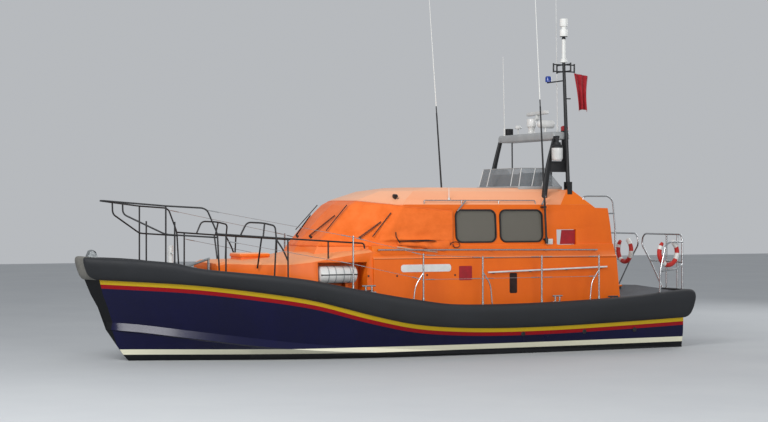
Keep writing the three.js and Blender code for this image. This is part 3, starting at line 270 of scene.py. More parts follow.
# Patterns are sized in metres. Grains of 1.5 to 6 mm are coarser than on the real paint, metal and
# moulded plastic, so that they show from close by; they are too fine for the camera's own view.
FINISH = {
    # Paint: orange fades slowly and is painted paler where it looks up, a painted highlight for the light
    # from above; the deck has a coarse, matt grain.
    "hull": navy_gelcoat(),
    "orange": enamel_lit_from_above("orange_cabin_enamel", "F07410", "E76A08", "FCCAA6", (0.34, 0.5)),
    "orange_low": enamel_lit_from_above("orange_topside_enamel", "E96A08", "DE6004", "F6AC77", (0.38, 0.54)),
    "deck": enamel_lit_from_above("nonslip_grey_deck_paint", "3A3D42", "303338", "4C5056", (0.6, 0.8), 0.003, 0.0012),
    # Rubber: no gloss, a fine pitted grain, and patches drawn out along the boat on the fender.
    "fender": coated("moulded_fender_rubber", "1B1D20", "25272B", (0.6, 0.82), 0.8, 0.006, 0.0006, 4.0),
    "pad": coated("grey_bow_pad_rubber", "77756F", "64625D", (0.6, 0.8), 0.2, 0.005, 0.0006),
    # Gelcoat and moulded plastic: clean and pale with a thin clear coat, or black with a fine texture.
    "raft": coated("white_raft_glassfibre", "DCDCDA", "CFCFCC", (0.25, 0.4), 0.3, Coat_Weight=0.3),
    "white": coated("white_moulded_gelcoat", "DADAD8", "C9C9C6", (0.25, 0.4), 0.2, Coat_Weight=0.3),
    "black": coated("black_powder_coat", "101012", "19191B", (0.35, 0.55), 0.15, 0.002, 0.0002),
    "plastic": coated("textured_black_abs", "131416", "1C1D20", (0.5, 0.7), 0.1, 0.0015, 0.0002),
    "gasket": coated("window_gasket_rubber", "0B0C0D", "151618", (0.5, 0.7), 0.1, 0.002, 0.0001),
    # Metal: bright drawn tube, crystal patches on zinc, and duller castings.
    "steel": coated("polished_stainless_tube", "C4C6C7", "ADAFB1", (0.16, 0.3), 0.08, 0.002, 0.0001,
                    Metallic=1.0),
    "galvanised": coated("hot_dip_galvanised_steel", "9EA2A4", "7F8486", (0.4, 0.6), 0.03, 0.006, 0.0003,
                         Metallic=0.9),
    "alloy": coated("cast_jet_alloy", "8A8E90", "6F7375", (0.35, 0.55), 0.06, 0.003, 0.0004, Metallic=0.9),
    # Arch paint, then glass: a tint that darkens what is behind it, under a faint ripple.
    "grey": coated("grey_arch_paint", "A3A5A5", "949798", (0.35, 0.5), 0.4, Coat_Weight=0.2),
    "leg": coated("black_leg_paint", "131416", "1B1C1F", (0.4, 0.55), 0.3),
    "glass": glazing("tinted_window_glass", "6E6A61", 0.8),
    "acrylic": glazing("grey_tinted_acrylic", "8C9296", 0.5, 0.06),
    # The sole is matt and ribbed; cloth has a crossed weave in the bump, a soft sheen and no gloss.
    "sole": coated("ribbed_grey_sole", "5A5E62", "4B4F53", (0.6, 0.8), 0.2, 0.004, 0.0008),
    "seat": woven("black_seat_covering", "1B1C20", "26282D", 0.003, (0.55, 0.75), 0.0004),
    "cover": woven("proofed_orange_canvas", "F0701C", "E06412", 0.004, (0.7, 0.9), 0.0005),
    "strap": woven("pale_webbing", "C9BFA8", "A59B86", 0.003, (0.7, 0.9), 0.0005),
    "buoy": woven("red_buoy_cover", "C4261C", "A91D15", 0.003, (0.5, 0.7), 0.0004),
    # Tape, recess paint, painted shadow and lenses: flat fields of colour, the lenses glossy under a clear
    # coat.
    "reflective": coated("white_reflective_tape", "E2E2DE", "CCCCC8", (0.3, 0.45), 0.05),
    "red": coated("red_recess_paint", "A30F1C", "8A0D16", (0.35, 0.5), 0.1),
    "red_lens": coated("red_lamp_lens", "B00F16", "8E0B12", (0.12, 0.2), 0.05, Coat_Weight=0.5),
    "blue_lens": coated("blue_lamp_lens", "1B3F9C", "16347F", (0.12, 0.2), 0.05, Coat_Weight=0.5),
    # Painted shadow: a near-black brown that stands for the shade inside the step recesses and under the
    # loose canvas flap.
    "painted_shadow": coated("dark_recess_shadow", "2A0D06", "1E0A05", (0.7, 0.9), 0.2),
    "screen": coated("display_glass", "0A0D12", "10151C", (0.08, 0.15), 0.1, Coat_Weight=0.6),
    # Paint banded by height on the aerials and the mast, then the ensign and the studio floor.
    "whip": banded("painted_whip_aerial", [(5.45, 9.0, "E4E4E0")], "131315", "1B1B1E", (0.35, 0.5)),
    "mast": banded("black_mast_paint", [(6.29, 6.80, "DEDEDA"), (6.865, 7.4, "E6E6E2")],
                   "131416", "1B1C1E", (0.35, 0.5)),
    "flag": woven("red_bunting", "A30A1B", "8A0717", 0.003, (0.7, 0.9), 0.0004, 0.3, 0.1),
    "floor": coated("pale_studio_floor", "B9BCBE", "B4B7BA", (0.75, 0.85), 3.0, 0.02, 0.0001),
}


def along(table, column, x):
    """Smooth value of a table's column at x: a cubic through the rows, whose slope at each row is
    that of the chord between its neighbours."""
    xs, ys = table[:, 0], table[:, column]
    k = np.arange(len(xs))
    before, after = np.maximum(k - 1, 0), np.minimum(k + 1, len(xs) - 1)
    slope = (ys[after] - ys[before]) / (xs[after] - xs[before])
    i = np.clip(np.searchsorted(xs, x, side="right") - 1, 0, len(xs) - 2)
    span = xs[i + 1] - xs[i]
    t = np.clip((x - xs[i]) / span, 0, 1)
    return (ys[i] * (1 + 2 * t) * (1 - t) ** 2 + slope[i] * span * t * (1 - t) ** 2
            + ys[i + 1] * t * t * (3 - 2 * t) - slope[i + 1] * span * t * t * (1 - t))


def line_points(table, station):
    """A hull line at stations; forward of 2 m each line runs out to its own stem point."""
    reach = (table[-1, 0] - 2) / (SHEER[-1, 0] - 2)
    x = np.where(station < 2, station, 2 + (station - 2) * reach)
    return np.stack([x, along(table, 1, x), along(table, 2, x)], -1)


def house_level(z):
    """The upper house's table row at heights z, by straight lines between its levels."""
    return np.array([np.interp(z, HOUSE[:, 0], HOUSE[:, k]) for k in range(8)])


def side_y(x, z):
    """Half breadth of the cabin's outside at points (x, z): below the waist by height alone, above it
    by a straight line from the wall's aft end to its fore corner."""
    _, aft_x, aft_y, fore_x, fore_y, *_ = house_level(z)
    upper = aft_y + (fore_y - aft_y) / (fore_x - aft_x) * (np.clip(x, aft_x, fore_x) - aft_x)
    return np.where(z < 2.2, np.interp(z, LOWER[:, 0], LOWER[:, 1]), upper)


def on_wall(x, z, out):
    """Points that stand a distance out from the cabin's side at (x, z)."""
    return np.stack([x, side_y(x, z) + out, z], -1)


def through(rows, steps):
    """Rows resampled on a smooth curve through all of them (Catmull-Rom), steps to each span."""
    rows = np.asarray(rows, float)
    p = np.vstack([2 * rows[0] - rows[1], rows, 2 * rows[-1] - rows[-2]])
    t = (np.arange(steps) / steps)[None, :, None]
    a, b, c, d = (p[k : len(p) - 3 + k, None, :] for k in range(4))
    curve = 0.5 * (2 * b + (c - a) * t + (2 * a - 5 * b + 4 * c - d) * t**2
                   + (3 * b - a - 3 * c + d) * t**3)
    return np.vstack([curve.reshape(-1, rows.shape[1]), rows[-1:]])


def lattice(points, around=True, ends=True, closed=False):
    """Quads over a grid of points: around joins its last column to its first, closed its last row
    to its first, and ends fills the first and last rows."""
    rows, columns = points.shape[:2]
    index = np.arange(rows * columns).reshape(rows, columns)
    if around:
        index = np.hstack([index, index[:, :1]])
    if closed:
        index = np.vstack([index, index[:1]])
    quads = np.stack([index[:-1, :-1], index[1:, :-1], index[1:, 1:], index[:-1, 1:]], -1)
    faces = quads.reshape(-1, 4).tolist()
    if ends and not closed:
        faces += [index[0, :columns][::-1].tolist(), index[-1, :columns].tolist()]
    return points.reshape(-1, 3), faces


def rounded_path(points, radius):
    """A polyline whose corners are turned on parabolas that start radius away from each corner."""
    p = np.asarray(points, float)
    out = [p[0]]
    t = np.linspace(0, 1, 6)[:, None]
    for before, here, after in zip(p[:-2], p[1:-1], p[2:]):
        back, ahead = before - here, after - here
        cut = min(radius, 0.45 * np.linalg.norm(back), 0.45 * np.linalg.norm(ahead))
        start = here + back / np.linalg.norm(back) * cut
        end = here + ahead / np.linalg.norm(ahead) * cut
        out.extend((1 - t) ** 2 * start + 2 * t * (1 - t) * here + t**2 * end)
    return np.vstack([*out, p[-1]])


def sweep(path, section, closed=False, up=None, scale=None):
    """A section's (across, up) points carried along a path. Across is level with the plane that the
    path lies in, and scale widens the section at each point of the path."""
    p = np.asarray(path, float)
    ahead = np.roll(p, -1, 0) - p if closed else np.gradient(p, axis=0)
    if closed:
        ahead = ahead + np.roll(ahead, 1, 0)
    ahead /= np.linalg.norm(ahead, axis=1, keepdims=True)
    if up is None:
        flat = p - p.mean(0)
        up = np.linalg.svd(flat, full_matrices=True)[2][2]
    up = np.broadcast_to(np.asarray(up, float), p.shape)
    across = np.cross(up, ahead)
    across /= np.linalg.norm(across, axis=1, keepdims=True)
    rise = np.cross(ahead, across)
    grow = np.ones(len(p)) if scale is None else np.asarray(scale, float)
    s = np.asarray(section, float)
    grid = (p[:, None] + grow[:, None, None] * (s[None, :, :1] * across[:, None]
                                                + s[None, :, 1:] * rise[:, None]))
    return lattice(grid, closed=closed)


def circle(radius, sides=12, flat=1.0):
    """A round section, or an oval one where flat isn't 1."""
    a = np.arange(sides) * 2 * math.pi / sides
    return np.stack([radius * np.cos(a), flat * radius * np.sin(a)], -1)


def tube(points, radius=0.017, bend=0.09):
    """A round tube along a polyline with rounded bends."""
    return sweep(rounded_path(points, bend), circle(radius))


def rod(start, end, radius, end_radius=None, sides=16):
    """A straight tapered bar."""
    ratio = 1.0 if end_radius is None else end_radius / radius
    path = np.linspace(start, end, 6)
    away = np.abs(path[-1] - path[0])
    return sweep(path, circle(radius, sides), up=np.eye(3)[int(np.argmin(away))],
                 scale=np.linspace(1, ratio, 6))


def turned(profile, centre, axis="Z", sides=28):
    """A profile of (radius, height) points revolved about an axis through centre."""
    profile = np.asarray(profile, float)
    a = np.arange(sides) * 2 * math.pi / sides
    r, h = profile[:, 0][:, None], profile[:, 1][:, None] + 0 * a
    flat = np.stack([r * np.cos(a), r * np.sin(a), h], -1)
    order = {"Z": [0, 1, 2], "X": [2, 0, 1], "Y": [1, 2, 0]}[axis]
    return lattice(flat[:, :, order] + np.asarray(centre, float))


def block(low, high, radius=0.008, steps=3):
    """A box with rounded edges: each point of a ball's grid is pushed out to its own corner."""
    low, high = np.asarray(low, float), np.asarray(high, float)
    centre, half = (low + high) / 2, (high - low) / 2
    radius = min(radius, *half * 0.98)
    quarter = np.linspace(0, math.pi / 2, steps + 1)
    turn = np.concatenate([quarter + k * math.pi / 2 for k in range(4)])
    lift = np.concatenate([quarter - math.pi / 2, quarter])
    way = np.repeat([[1, 1], [-1, 1], [-1, -1], [1, -1]], steps + 1, axis=0)
    tall = np.repeat([-1, 1], steps + 1)
    ball = np.stack([np.cos(lift)[:, None] * np.cos(turn), np.cos(lift)[:, None] * np.sin(turn),
                     np.sin(lift)[:, None] + 0 * turn], -1)
    corner = np.stack([np.broadcast_to(way[:, 0], ball.shape[:2]),
                       np.broadcast_to(way[:, 1], ball.shape[:2]),
                       np.broadcast_to(tall[:, None], ball.shape[:2])], -1)
    return lattice(centre + corner * (half - radius) + radius * ball)


def slab(outline, axis, low, high):
    """A flat plate: an outline of (a, b) points carried along one axis."""
    outline = np.asarray(outline, float)
    order = {"X": [2, 0, 1], "Y": [0, 2, 1], "Z": [0, 1, 2]}[axis]
    ends = [np.column_stack([outline, np.full(len(outline), t)])[:, order] for t in (low, high)]
    return lattice(np.stack(ends))


def rounded_outline(x0, x1, z0, z1, radius, steps=6):
    """A rectangle's outline with round corners."""
    a = np.linspace(0, math.pi / 2, steps + 1)
    out = []
    for k, (x, z) in enumerate([(x1 - radius, z1 - radius), (x0 + radius, z1 - radius),
                                (x0 + radius, z0 + radius), (x1 - radius, z0 + radius)]):
        out.append(np.stack([x + radius * np.cos(a + k * math.pi / 2),
                             z + radius * np.sin(a + k * math.pi / 2)], -1))
    return np.vstack(out)


def mirrored(shape):
    """The same shape on the other side of the boat."""
    points, faces = shape
    return points * [1, -1, 1], faces


def both(shapes):
    """Shapes of the port side, and the same to starboard."""
    return [*shapes, *(mirrored(shape) for shape in shapes)]


def on_side(shapes, side):
    """Shapes drawn to port, moved to starboard where side is -1."""
    return shapes if side > 0 else [mirrored(shape) for shape in shapes]


def shade(piece, sharp):
    """Smooth shading that breaks where faces meet at more than sharp degrees."""
    piece.data.shade_smooth()
    piece.data.set_sharp_from_angle(angle=math.radians(sharp))


def merged(name, shapes, outward=True):
    """One mesh from several shapes, its doubles merged and its faces turned outwards."""
    points, faces, first = [], [], 0
    for p, f in shapes:
        points.append(p)
        faces += [[i + first for i in face] for face in f]
        first += len(p)
    mesh = bpy.data.meshes.new(name)
    mesh.from_pydata(np.vstack(points).tolist(), [], faces)
    work = bmesh.new()
    work.from_mesh(mesh)
    bmesh.ops.remove_doubles(work, verts=work.verts, dist=1e-6)
    bmesh.ops.dissolve_degenerate(work, edges=work.edges, dist=1e-7)
    if outward:
        bmesh.ops.recalc_face_normals(work, faces=work.faces)
    work.to_mesh(mesh)
    work.free()
    return mesh


def placed(name, mesh):
    """A new object of the scene that holds a mesh or a light."""
    piece = bpy.data.objects.new(name, mesh)
    bpy.context.scene.collection.objects.link(piece)
    return piece


def finish_mesh(piece, material, body, stands_for, sharp):
    """Shading, material, the body that it rides on and what it stands for."""
    shade(piece, sharp)
    piece.data.materials.clear()
    piece.data.materials.append(FINISH[material])
    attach(piece, body)
    if stands_for:
        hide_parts(*stands_for)
    return piece


def build(name, shapes, material, body="boat", stands_for=(), sharp=35, closed=True, slot=None):
    """One piece from several shapes. The faces of an open sheet stay as they were drawn."""
    piece = placed(name, merged(name, shapes, closed))
    return finish_mesh(piece, material, body, stands_for, sharp)


def cloth(name, grid, material, width, held, rests_on, thickness=0.003, offset=-1.0, **more):
    """An open sheet given its thickness; width is not used."""
    sheet = lattice(grid, around=False, ends=False)
    piece = build(name, [sheet], material, sharp=80, closed=False, **more)
    wall = piece.modifiers.new("cloth", "SOLIDIFY")
    wall.thickness = thickness
    wall.offset = offset


def paint(node, material):
    """Gives a CAD node that stays its real finish."""
    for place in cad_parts[node].material_slots:
        place.link = "OBJECT"
        place.material = FINISH[material]


def soften(node, material, width, keep=None, body="boat", angle=24):
    """A copy of a CAD node with its flat faces merged and its outer edges rounded; keep says which
    edges are rounded."""
    work = bmesh.new()
    work.from_mesh(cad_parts[node].data)
    bmesh.ops.remove_doubles(work, verts=work.verts, dist=2e-5)
    bmesh.ops.dissolve_limit(work, angle_limit=math.radians(0.6), verts=work.verts, edges=work.edges)
    edges = [edge for edge in work.edges if len(edge.link_faces) == 2 and edge.is_convex
             and edge.calc_face_angle(0) > math.radians(angle)
             and (keep is None or keep(*(v.co for v in edge.verts)))]
    bmesh.ops.bevel(work, geom=edges, offset=width, segments=3, profile=0.5, affect="EDGES",
                    clamp_overlap=True)
    mesh = bpy.data.meshes.new(f"{node}_softened")
    work.to_mesh(mesh)
    work.free()
    return finish_mesh(placed(mesh.name, mesh), material, body, [node], 34)


def cut_with(piece, shapes):
    """Takes shapes out of a piece."""
    tool = placed("cutter", merged("cutter", shapes))
    change = piece.modifiers.new("cut", "BOOLEAN")
    change.operation = "DIFFERENCE"
    change.solver = "EXACT"
    change.object = tool
    graph = bpy.context.evaluated_depsgraph_get()
    done = bpy.data.meshes.new_from_object(piece.evaluated_get(graph))
    piece.modifiers.clear()
    piece.data = done
    bpy.data.objects.remove(tool)


def measure_below_fender(hull, foot):
    """A UV map whose V is each point's depth in metres below the fender's foot, for the bands."""
    layer = hull.data.uv_layers.new(name="below_fender")
    co = np.empty(len(hull.data.vertices) * 3)
    hull.data.vertices.foreach_get("co", co)
    co = co.reshape(-1, 3)
    corner = np.empty(len(hull.data.loops), int)
    hull.data.loops.foreach_get("vertex_index", corner)
    foot_z = np.interp(co[:, 0], foot[:, 0], foot[:, 2])
    uv = np.stack([co[:, 0], foot_z - co[:, 2]], -1)[corner]
    layer.data.foreach_set("uv", uv.ravel())


def dress_hull():
    """Half sections of keel, chine, knuckle and fender foot carried from transom to stem."""
    s = np.concatenate([np.linspace(-6.56, 2, 60), np.linspace(2, 6.62, 60)[1:]])
    keel, chine, knuckle, foot, sheer = (line_points(t, s) for t in (KEEL, CHINE, KNUCKLE, FOOT, SHEER))
    rail = np.minimum(0.06, chine[:, 1] * 0.3)
    low = np.stack([(keel[:, 0] + chine[:, 0]) / 2, chine[:, 1] * 0.5,
                    keel[:, 2] + (chine[:, 2] - keel[:, 2]) * 0.44], -1)
    step = chine + np.stack([0 * rail, -rail, -rail * 0.45], -1)
    rise = np.clip(0.07 + chine[:, 0] / 40, 0.06, 0.15)
    lip = chine + np.stack([0 * rail, -np.minimum(rise * 0.47, chine[:, 1] * 0.35), rise], -1)
    top = sheer + [0, 0, -0.06]
    shelf = top * [1, 0, 1] + [0, 0, 0.01]
    port = np.stack([keel, low, step, chine, lip, knuckle, foot, top, shelf], 1)
    ring = np.concatenate([port, (port * [1, -1, 1])[:, -2:0:-1]], 1)
    hull = build("hull_skin", [lattice(ring)], "hull", stands_for=["hull"], sharp=18)
    bays = [block([-6.7, y - 0.32, -1.2], [-6.1, y + 0.32, 0.36], 0.001, 1)
            for y in (JET_Y, -JET_Y)]
    cut_with(hull, [block([-3.44, -1.5, 1.02], [0.845, 1.5, 2.5], 0.001, 1), *bays])
    measure_below_fender(hull, foot)
    shade(hull, 18)


def fender_frames():
    """Foot, top and outward direction round the boat from the port transom to the starboard one."""
    side = np.concatenate([[-6.25], STATIONS[1:-1]])
    foot, sheer = line_points(FOOT, side), line_points(SHEER, side)
    ahead = line_points(SHEER, np.minimum(side + 0.04, 6.62))
    astern = line_points(SHEER, np.maximum(side - 0.04, -6.56))
    normal = np.stack([astern[:, 1] - ahead[:, 1], ahead[:, 0] - astern[:, 0]], -1)
    normal /= np.linalg.norm(normal, axis=1, keepdims=True)
    rows = np.hstack([foot, sheer, normal])
    stern = [[-6.56, y - 0.018, 0.66, -6.56, y, 1.24, *n]
             for y, n in [(1.12, (-1.16, 0)), (1.5, (-1.16, 0)), (1.79, (-1.14, 0.06)),
                          (1.935, (-0.95, 0.85))]]
    bow = [[6.52, 0.085, 1.664, 6.60, 0.10, 2.08, 0.25, 0.7]]
    nose = [[6.548, 0, 1.665, 6.628, 0, 2.082, 0.62, 0]]
    port = np.vstack([stern, rows, bow])
    return through(np.vstack([port, nose, port[::-1] * [1, -1, 1, 1, -1, 1, 1, -1]]), 6)


def dress_fender():
    """A D section, flat against the hull and rounded outwards, carried round the boat."""
    rows = fender_frames()
    foot, sheer = rows[:, 0:3], rows[:, 3:6]
    normal = np.column_stack([rows[:, 6:8], np.zeros(len(rows))])
    section = through([[-0.03, 0.0], [0.05, 0.015], [0.12, 0.12], [0.17, 0.32], [0.201, 0.55], [0.213, 0.72],
                       [0.204, 0.85], [0.175, 0.945], [0.12, 0.995], [0.04, 1.0], [-0.03, 1.0]], 4)
    out, up = section[:, :1], section[:, 1:]
    tall = sheer[:, None] + [0, 0, 0.05] - foot[:, None]
    lean = (sheer - foot)[:, None] * [1, 1, 0]
    grid = foot[:, None] + lean * up + tall * up * [0, 0, 1] + normal[:, None] * out
    points, faces = lattice(grid)
    for name, low, high, node, finish in [
        ("fender_port_skin", 0.24, 9, "fender_port", "fender"),
        ("fender_starboard_skin", -9, -0.24, "fender_starboard", "fender"),
        ("bow_pad_skin", -0.24, 0.24, "bow_pad", "pad"),
    ]:
        piece = build(name, [(points, faces)], finish, stands_for=[node], sharp=50)
        work = bmesh.new()
        work.from_mesh(piece.data)
        for y, side in ((low, -1), (high, 1)):
            if abs(y) < 5:
                cut = bmesh.ops.bisect_plane(work, geom=[*work.verts, *work.edges, *work.faces],
                                             plane_co=(0, y, 0), plane_no=(0, side, 0), clear_outer=True)
                rim = [e for e in cut["geom_cut"] if isinstance(e, bmesh.types.BMEdge)]
                bmesh.ops.edgeloop_fill(work, edges=rim)
        if finish == "pad":
            far = [v for v in work.verts if v.co.x < 5]
            bmesh.ops.delete(work, geom=far, context="VERTS")
        bmesh.ops.recalc_face_normals(work, faces=work.faces)
        work.to_mesh(piece.data)
        work.free()
        shade(piece, 50)


def dress_cabin():
    """Pieces that keep their solids' shapes: some only get their finish, and the trunk, lids, house,
    door, coaming and jets get rounded outer corners too."""
    paint("deck", "deck")
    soften("foredeck_trunk", "orange_low", 0.02,
           keep=lambda a, b: min(a.z, b.z) > 1.5 and max(abs(a.y), abs(b.y)) < 1.59)
    soften("foredeck_hatch_lid", "orange", 0.012, body="fore_hatch")
    soften("aft_hatch_lid", "orange", 0.01, body="aft_hatch")
    seam = lambda z: abs(z - 3.175) < 0.003
    outside = lambda a, b: abs(a.y) > 1.3 and abs(b.y) > 1.3 or a.x > 0.1 and b.x > 0.1
    for hand in SIDES:
        soften(f"cabin_side_{hand}", "orange_low", 0.012,
               keep=lambda a, b: not (seam(a.z) and seam(b.z)) and min(a.z, b.z) > 1.3
               and outside(a, b) and not (a.x > 0.09 and b.x > 0.09 and min(a.z, b.z) > 2.15))
    paint("cabin_front", "orange")
    soften("cabin_roof", "orange", 0.03,
           keep=lambda a, b: not (seam(a.z) and seam(b.z)) and min(a.z, b.z) > 3.2, angle=12)
    paint("cabin_bulkhead", "orange")
    soften("aft_door", "orange", 0.008, body="door")
    for node, finish in [
        ("cabin_sole", "sole"), ("crew_seats", "seat"), ("helm_console", "plastic"),
        ("windscreen_glass", "glass"), ("upper_helm_screen", "acrylic"), ("upper_helm_console", "plastic"),
        ("upper_helm_seats", "seat"), ("mast_foot", "black"), ("anchor", "galvanised"),
        ("samson_post", "white"), *((f"window_{w}_{h}", "glass") for w in ("aft", "fore") for h in SIDES),
    ]:
        paint(node, finish)
    soften("upper_helm_coaming", "grey", 0.01)
    for hand in SIDES:
        for node in ("waterjet_housing", "steering_nozzle", "reverse_bucket"):
            body = {"waterjet_housing": "boat", "steering_nozzle": f"nozzle_{hand}",
                    "reverse_bucket": f"bucket_{hand}"}[node]
            soften(f"{node}_{hand}", "alloy", 0.004, body=body)


def dress_windows():
    """Each side window has a rubber gasket: a flat section carried round the opening on the wall."""
    section = np.array([[-0.012, -0.02], [0.012, -0.02], [0.017, -0.008], [0.017, 0.008], [0.012, 0.02],
                        [-0.012, 0.02]])
    rims = []
    for x0, x1 in [(-3.19, -2.16), (-2.04, -1.09)]:
        flat = rounded_outline(x0 - 0.004, x1 + 0.004, 2.376, 3.054, 0.134)
        rims.append(sweep(on_wall(*flat.T, 0.001), section * [1.15, 1.0], closed=True))
    build("window_gaskets", both(rims), "gasket")


def dress_cover():
    """Canvas round the house front: the house's plan at each height, its corners eased, stood off by
    the padding beneath it, with long soft creases made of crossed sines."""
    rows, columns = 46, 260
    corners = np.array([house_level(z) for z in np.linspace(2.28, 3.3, 52)])
    reference = house_level(2.75)
    plan = np.array([[-1.0, reference[2]], reference[3:5], reference[5:7], [reference[7], 0]])
    length = np.r_[0, np.cumsum(np.linalg.norm(np.diff(plan, axis=0), axis=1))]
    s = np.linspace(-1, 1, columns)
    share = np.interp((1 - np.abs(s)) * length[-1], length, np.arange(4))

    def skin(z):
        """Points of the padded house plan at heights z, one column each."""
        level = np.stack([np.interp(z, np.linspace(2.28, 3.3, 52), corners[:, k]) for k in range(8)], -1)
        out = np.interp(z, [2.30, 2.52, 2.75, 3.0, 3.17, 3.285], [0.012, 0.034, 0.052, 0.05, 0.024, 0.012])
        aft = level[:, 2] + (level[:, 4] - level[:, 2]) * (-1.0 - level[:, 1]) / (level[:, 3] - level[:, 1])
        x = np.stack([-1.0 + 0 * z, level[:, 3] + out * 0.6, level[:, 5] + out * 0.85, level[:, 7] + out])
        y = np.stack([aft + out, level[:, 4] + out, level[:, 6] + out * 0.55, 0 * z])
        column = np.arange(len(z))
        i = np.minimum(share.astype(int), 2)
        t = share - i
        return np.stack([x[i, column] * (1 - t) + x[i + 1, column] * t,
                         (y[i, column] * (1 - t) + y[i + 1, column] * t) * np.sign(s)], -1)

    eave = skin(np.full(columns, 3.15))
    top = np.interp(eave[:, 0], [-1.0, 0.18, 0.4, 0.85, 1.3], [3.045, 3.15, 3.187, 3.235, 3.28])
    grid = np.empty((rows, columns, 3))
    kernel = np.hanning(9) / np.hanning(9).sum()
    for k, v in enumerate(np.linspace(0, 1, rows)):
        z = 2.30 + v * (top - 2.30)
        where = skin(z)
        line = np.vstack([2 * where[0] - where[4:0:-1], where, 2 * where[-1] - where[-2:-6:-1]])
        grid[k, :, :2] = np.stack([np.convolve(line[:, j], kernel, "valid") for j in (0, 1)], -1)
        grid[k, :, 2] = z
    u = np.linspace(0, 1, columns)[None, :]
    v = np.linspace(0, 1, rows)[:, None]
    slack = np.exp(-(((u - 0.13) / 0.08) ** 4)) + np.exp(-(((u - 0.87) / 0.08) ** 4))
    loose = slack * np.exp(-((v / 0.3) ** 2))
    fold = slack * (np.exp(-(((v - 0.17) / 0.05) ** 2)) - 0.5 * np.exp(-(((v - 0.09) / 0.035) ** 2)))
    crease = (0.006 * np.sin(34 * u + 7 * v) * np.sin(9 * u - 5 * v + 1)
              + 0.004 * np.sin(61 * u - 23 * v) * (1 - v)
              + 0.014 * loose * np.sin(2 * math.pi * (v * 3.1 + 4.2 * u)) + 0.045 * fold)
    flat_normal = np.stack([np.gradient(grid[:, :, 1], axis=1), -np.gradient(grid[:, :, 0], axis=1)], -1)
    flat_normal /= np.linalg.norm(flat_normal, axis=2, keepdims=True)
    outward = np.sign((flat_normal * grid[:, :, :2]).sum(2, keepdims=True))
    lift = np.maximum(crease, -0.006)[:, :, None]
    grid[:, :, :2] += flat_normal * outward * lift
    cloth("windscreen_canvas", grid, "cover", 1.0, "stretched",
          ["cabin_front", "cabin_side_port", "cabin_side_starboard", "cabin_roof"], offset=1.0,
          stands_for=["windscreen_cover"])
    hem = [sweep(grid[k, 2:-2], circle(0.006, 8), up=(0, 0, 1)) for k in (1, rows - 2)]
    seams = [sweep(grid[1:-1, j], circle(0.004, 6)) for j in (58, 201, 130)]
    build("canvas_hem_and_seams", hem + seams, "cover")


def dress_loose_flap():
    """The cover's loose lower edge to port: a strip that bellies out by a sine between its ends and
    waves along its length, over a dark slab of painted shadow where the hollow behind it lies in shade."""
    x = np.linspace(0.31, -0.92, 60)[None, :]
    t = np.linspace(0, 1, 16)[:, None]
    ends = np.sin(math.pi * (x - 0.31) / -1.23) ** 0.6
    low = np.interp(x[0], [-0.92, -0.75, -0.2, 0.31], [2.20, 2.19, 2.27, 2.34])[None, :]
    z = 2.402 - (2.402 - low) * t - 0.012 * ends * np.sin(9 * x) * t
    y = side_y(x, 2.35) + 0.038 + ends * (0.065 * np.sin(2.4 * t) + 0.016 * np.sin(17 * x + 2 * t))
    grid = np.stack([x + 0 * z, y + 0 * z, z], -1)[:, ::-1]
    cloth("loose_canvas_flap", grid, "cover", 0.22, "hung", ["windscreen_canvas"])
    # Painted shadow: a thin dark slab on the wall stands for the shade in the hollow under the flap.
    hollow = [(0.30, 2.412), (0.0, 2.43), (-0.35, 2.437), (-0.57, 2.414), (-0.57, 2.404), (0.30, 2.402)]
    build("flap_hollow_shadow", [slab(hollow[::-1], "Y", 1.50, 1.572)], "painted_shadow")


def dress_straps():
    """Loose straps at the cover's foot to port: each is a smooth curve through given points (x, z),
    stood off the cabin's side."""
    curl = [(-0.90, 2.32), (-0.94, 2.365), (-1.02, 2.385), (-1.10, 2.37), (-1.13, 2.32), (-1.10, 2.275),
            (-1.04, 2.26), (-0.985, 2.285), (-0.97, 2.335)]
    hook = [(0.361, 2.601), (0.35, 2.50), (0.30, 2.42), (0.269, 2.371)]
    pale = [(0.338, 2.288), (0.0, 2.24), (-0.594, 2.174)]
    for name, line, radius, finish in [("curled_strap", curl, 0.009, "gasket"),
                                       ("strap_hook", hook, 0.011, "gasket"),
                                       ("pale_strap", pale, 0.010, "strap")]:
        x, z = np.array(line).T
        path = through(np.stack([x, side_y(x, np.maximum(z, 2.32)) + 0.075, z], -1), 6)
        piece = build(name, [sweep(path, circle(radius, 8))], finish, slot="cover_fabric")


def dress_wipers():
    """Wipers: a black arm from a boss at the sill, and a straight blade that the arm stops short of,
    both stood off the canvas along each pane's own outward direction."""
    shapes = []
    for out, pivot, elbow, high, low in [
        ((0.75, 0.12, 0.62), (1.76, 0.365, 2.466), (1.301, 0.66, 2.90), (1.084, 0.79, 3.111),
         (1.576, 0.84, 2.576)),
        ((0.46, 0.78, 0.40), (1.027, 1.205, 2.459), (0.587, 1.31, 2.785), (0.375, 1.35, 2.966),
         (0.784, 1.33, 2.474)),
    ]:
        out, *points = (np.array(p) for p in (out, pivot, elbow, high, low))
        foot = points[0] + out * 0.01
        pivot, elbow, high, low = (p + out * 0.085 for p in points)
        shapes += [rod(foot, pivot, 0.030, 0.022, 14), rod(pivot, elbow, 0.012, 0.008, 8),
                   rod(pivot - [0, 0, 0.03], elbow - [0, 0, 0.02], 0.006, None, 8),
                   rod(high, low, 0.011, None, 8)]
    build("windscreen_wipers", both(shapes), "black")


def wall_slab(x0, x1, z0, z1, radius, proud):
    """A plate with round corners that lies on the cabin's side and stands proud of it."""
    outline = rounded_outline(x0, x1, z0, z1, radius)
    return lattice(np.stack([on_wall(*outline.T, out) for out in (0.0, proud)]))


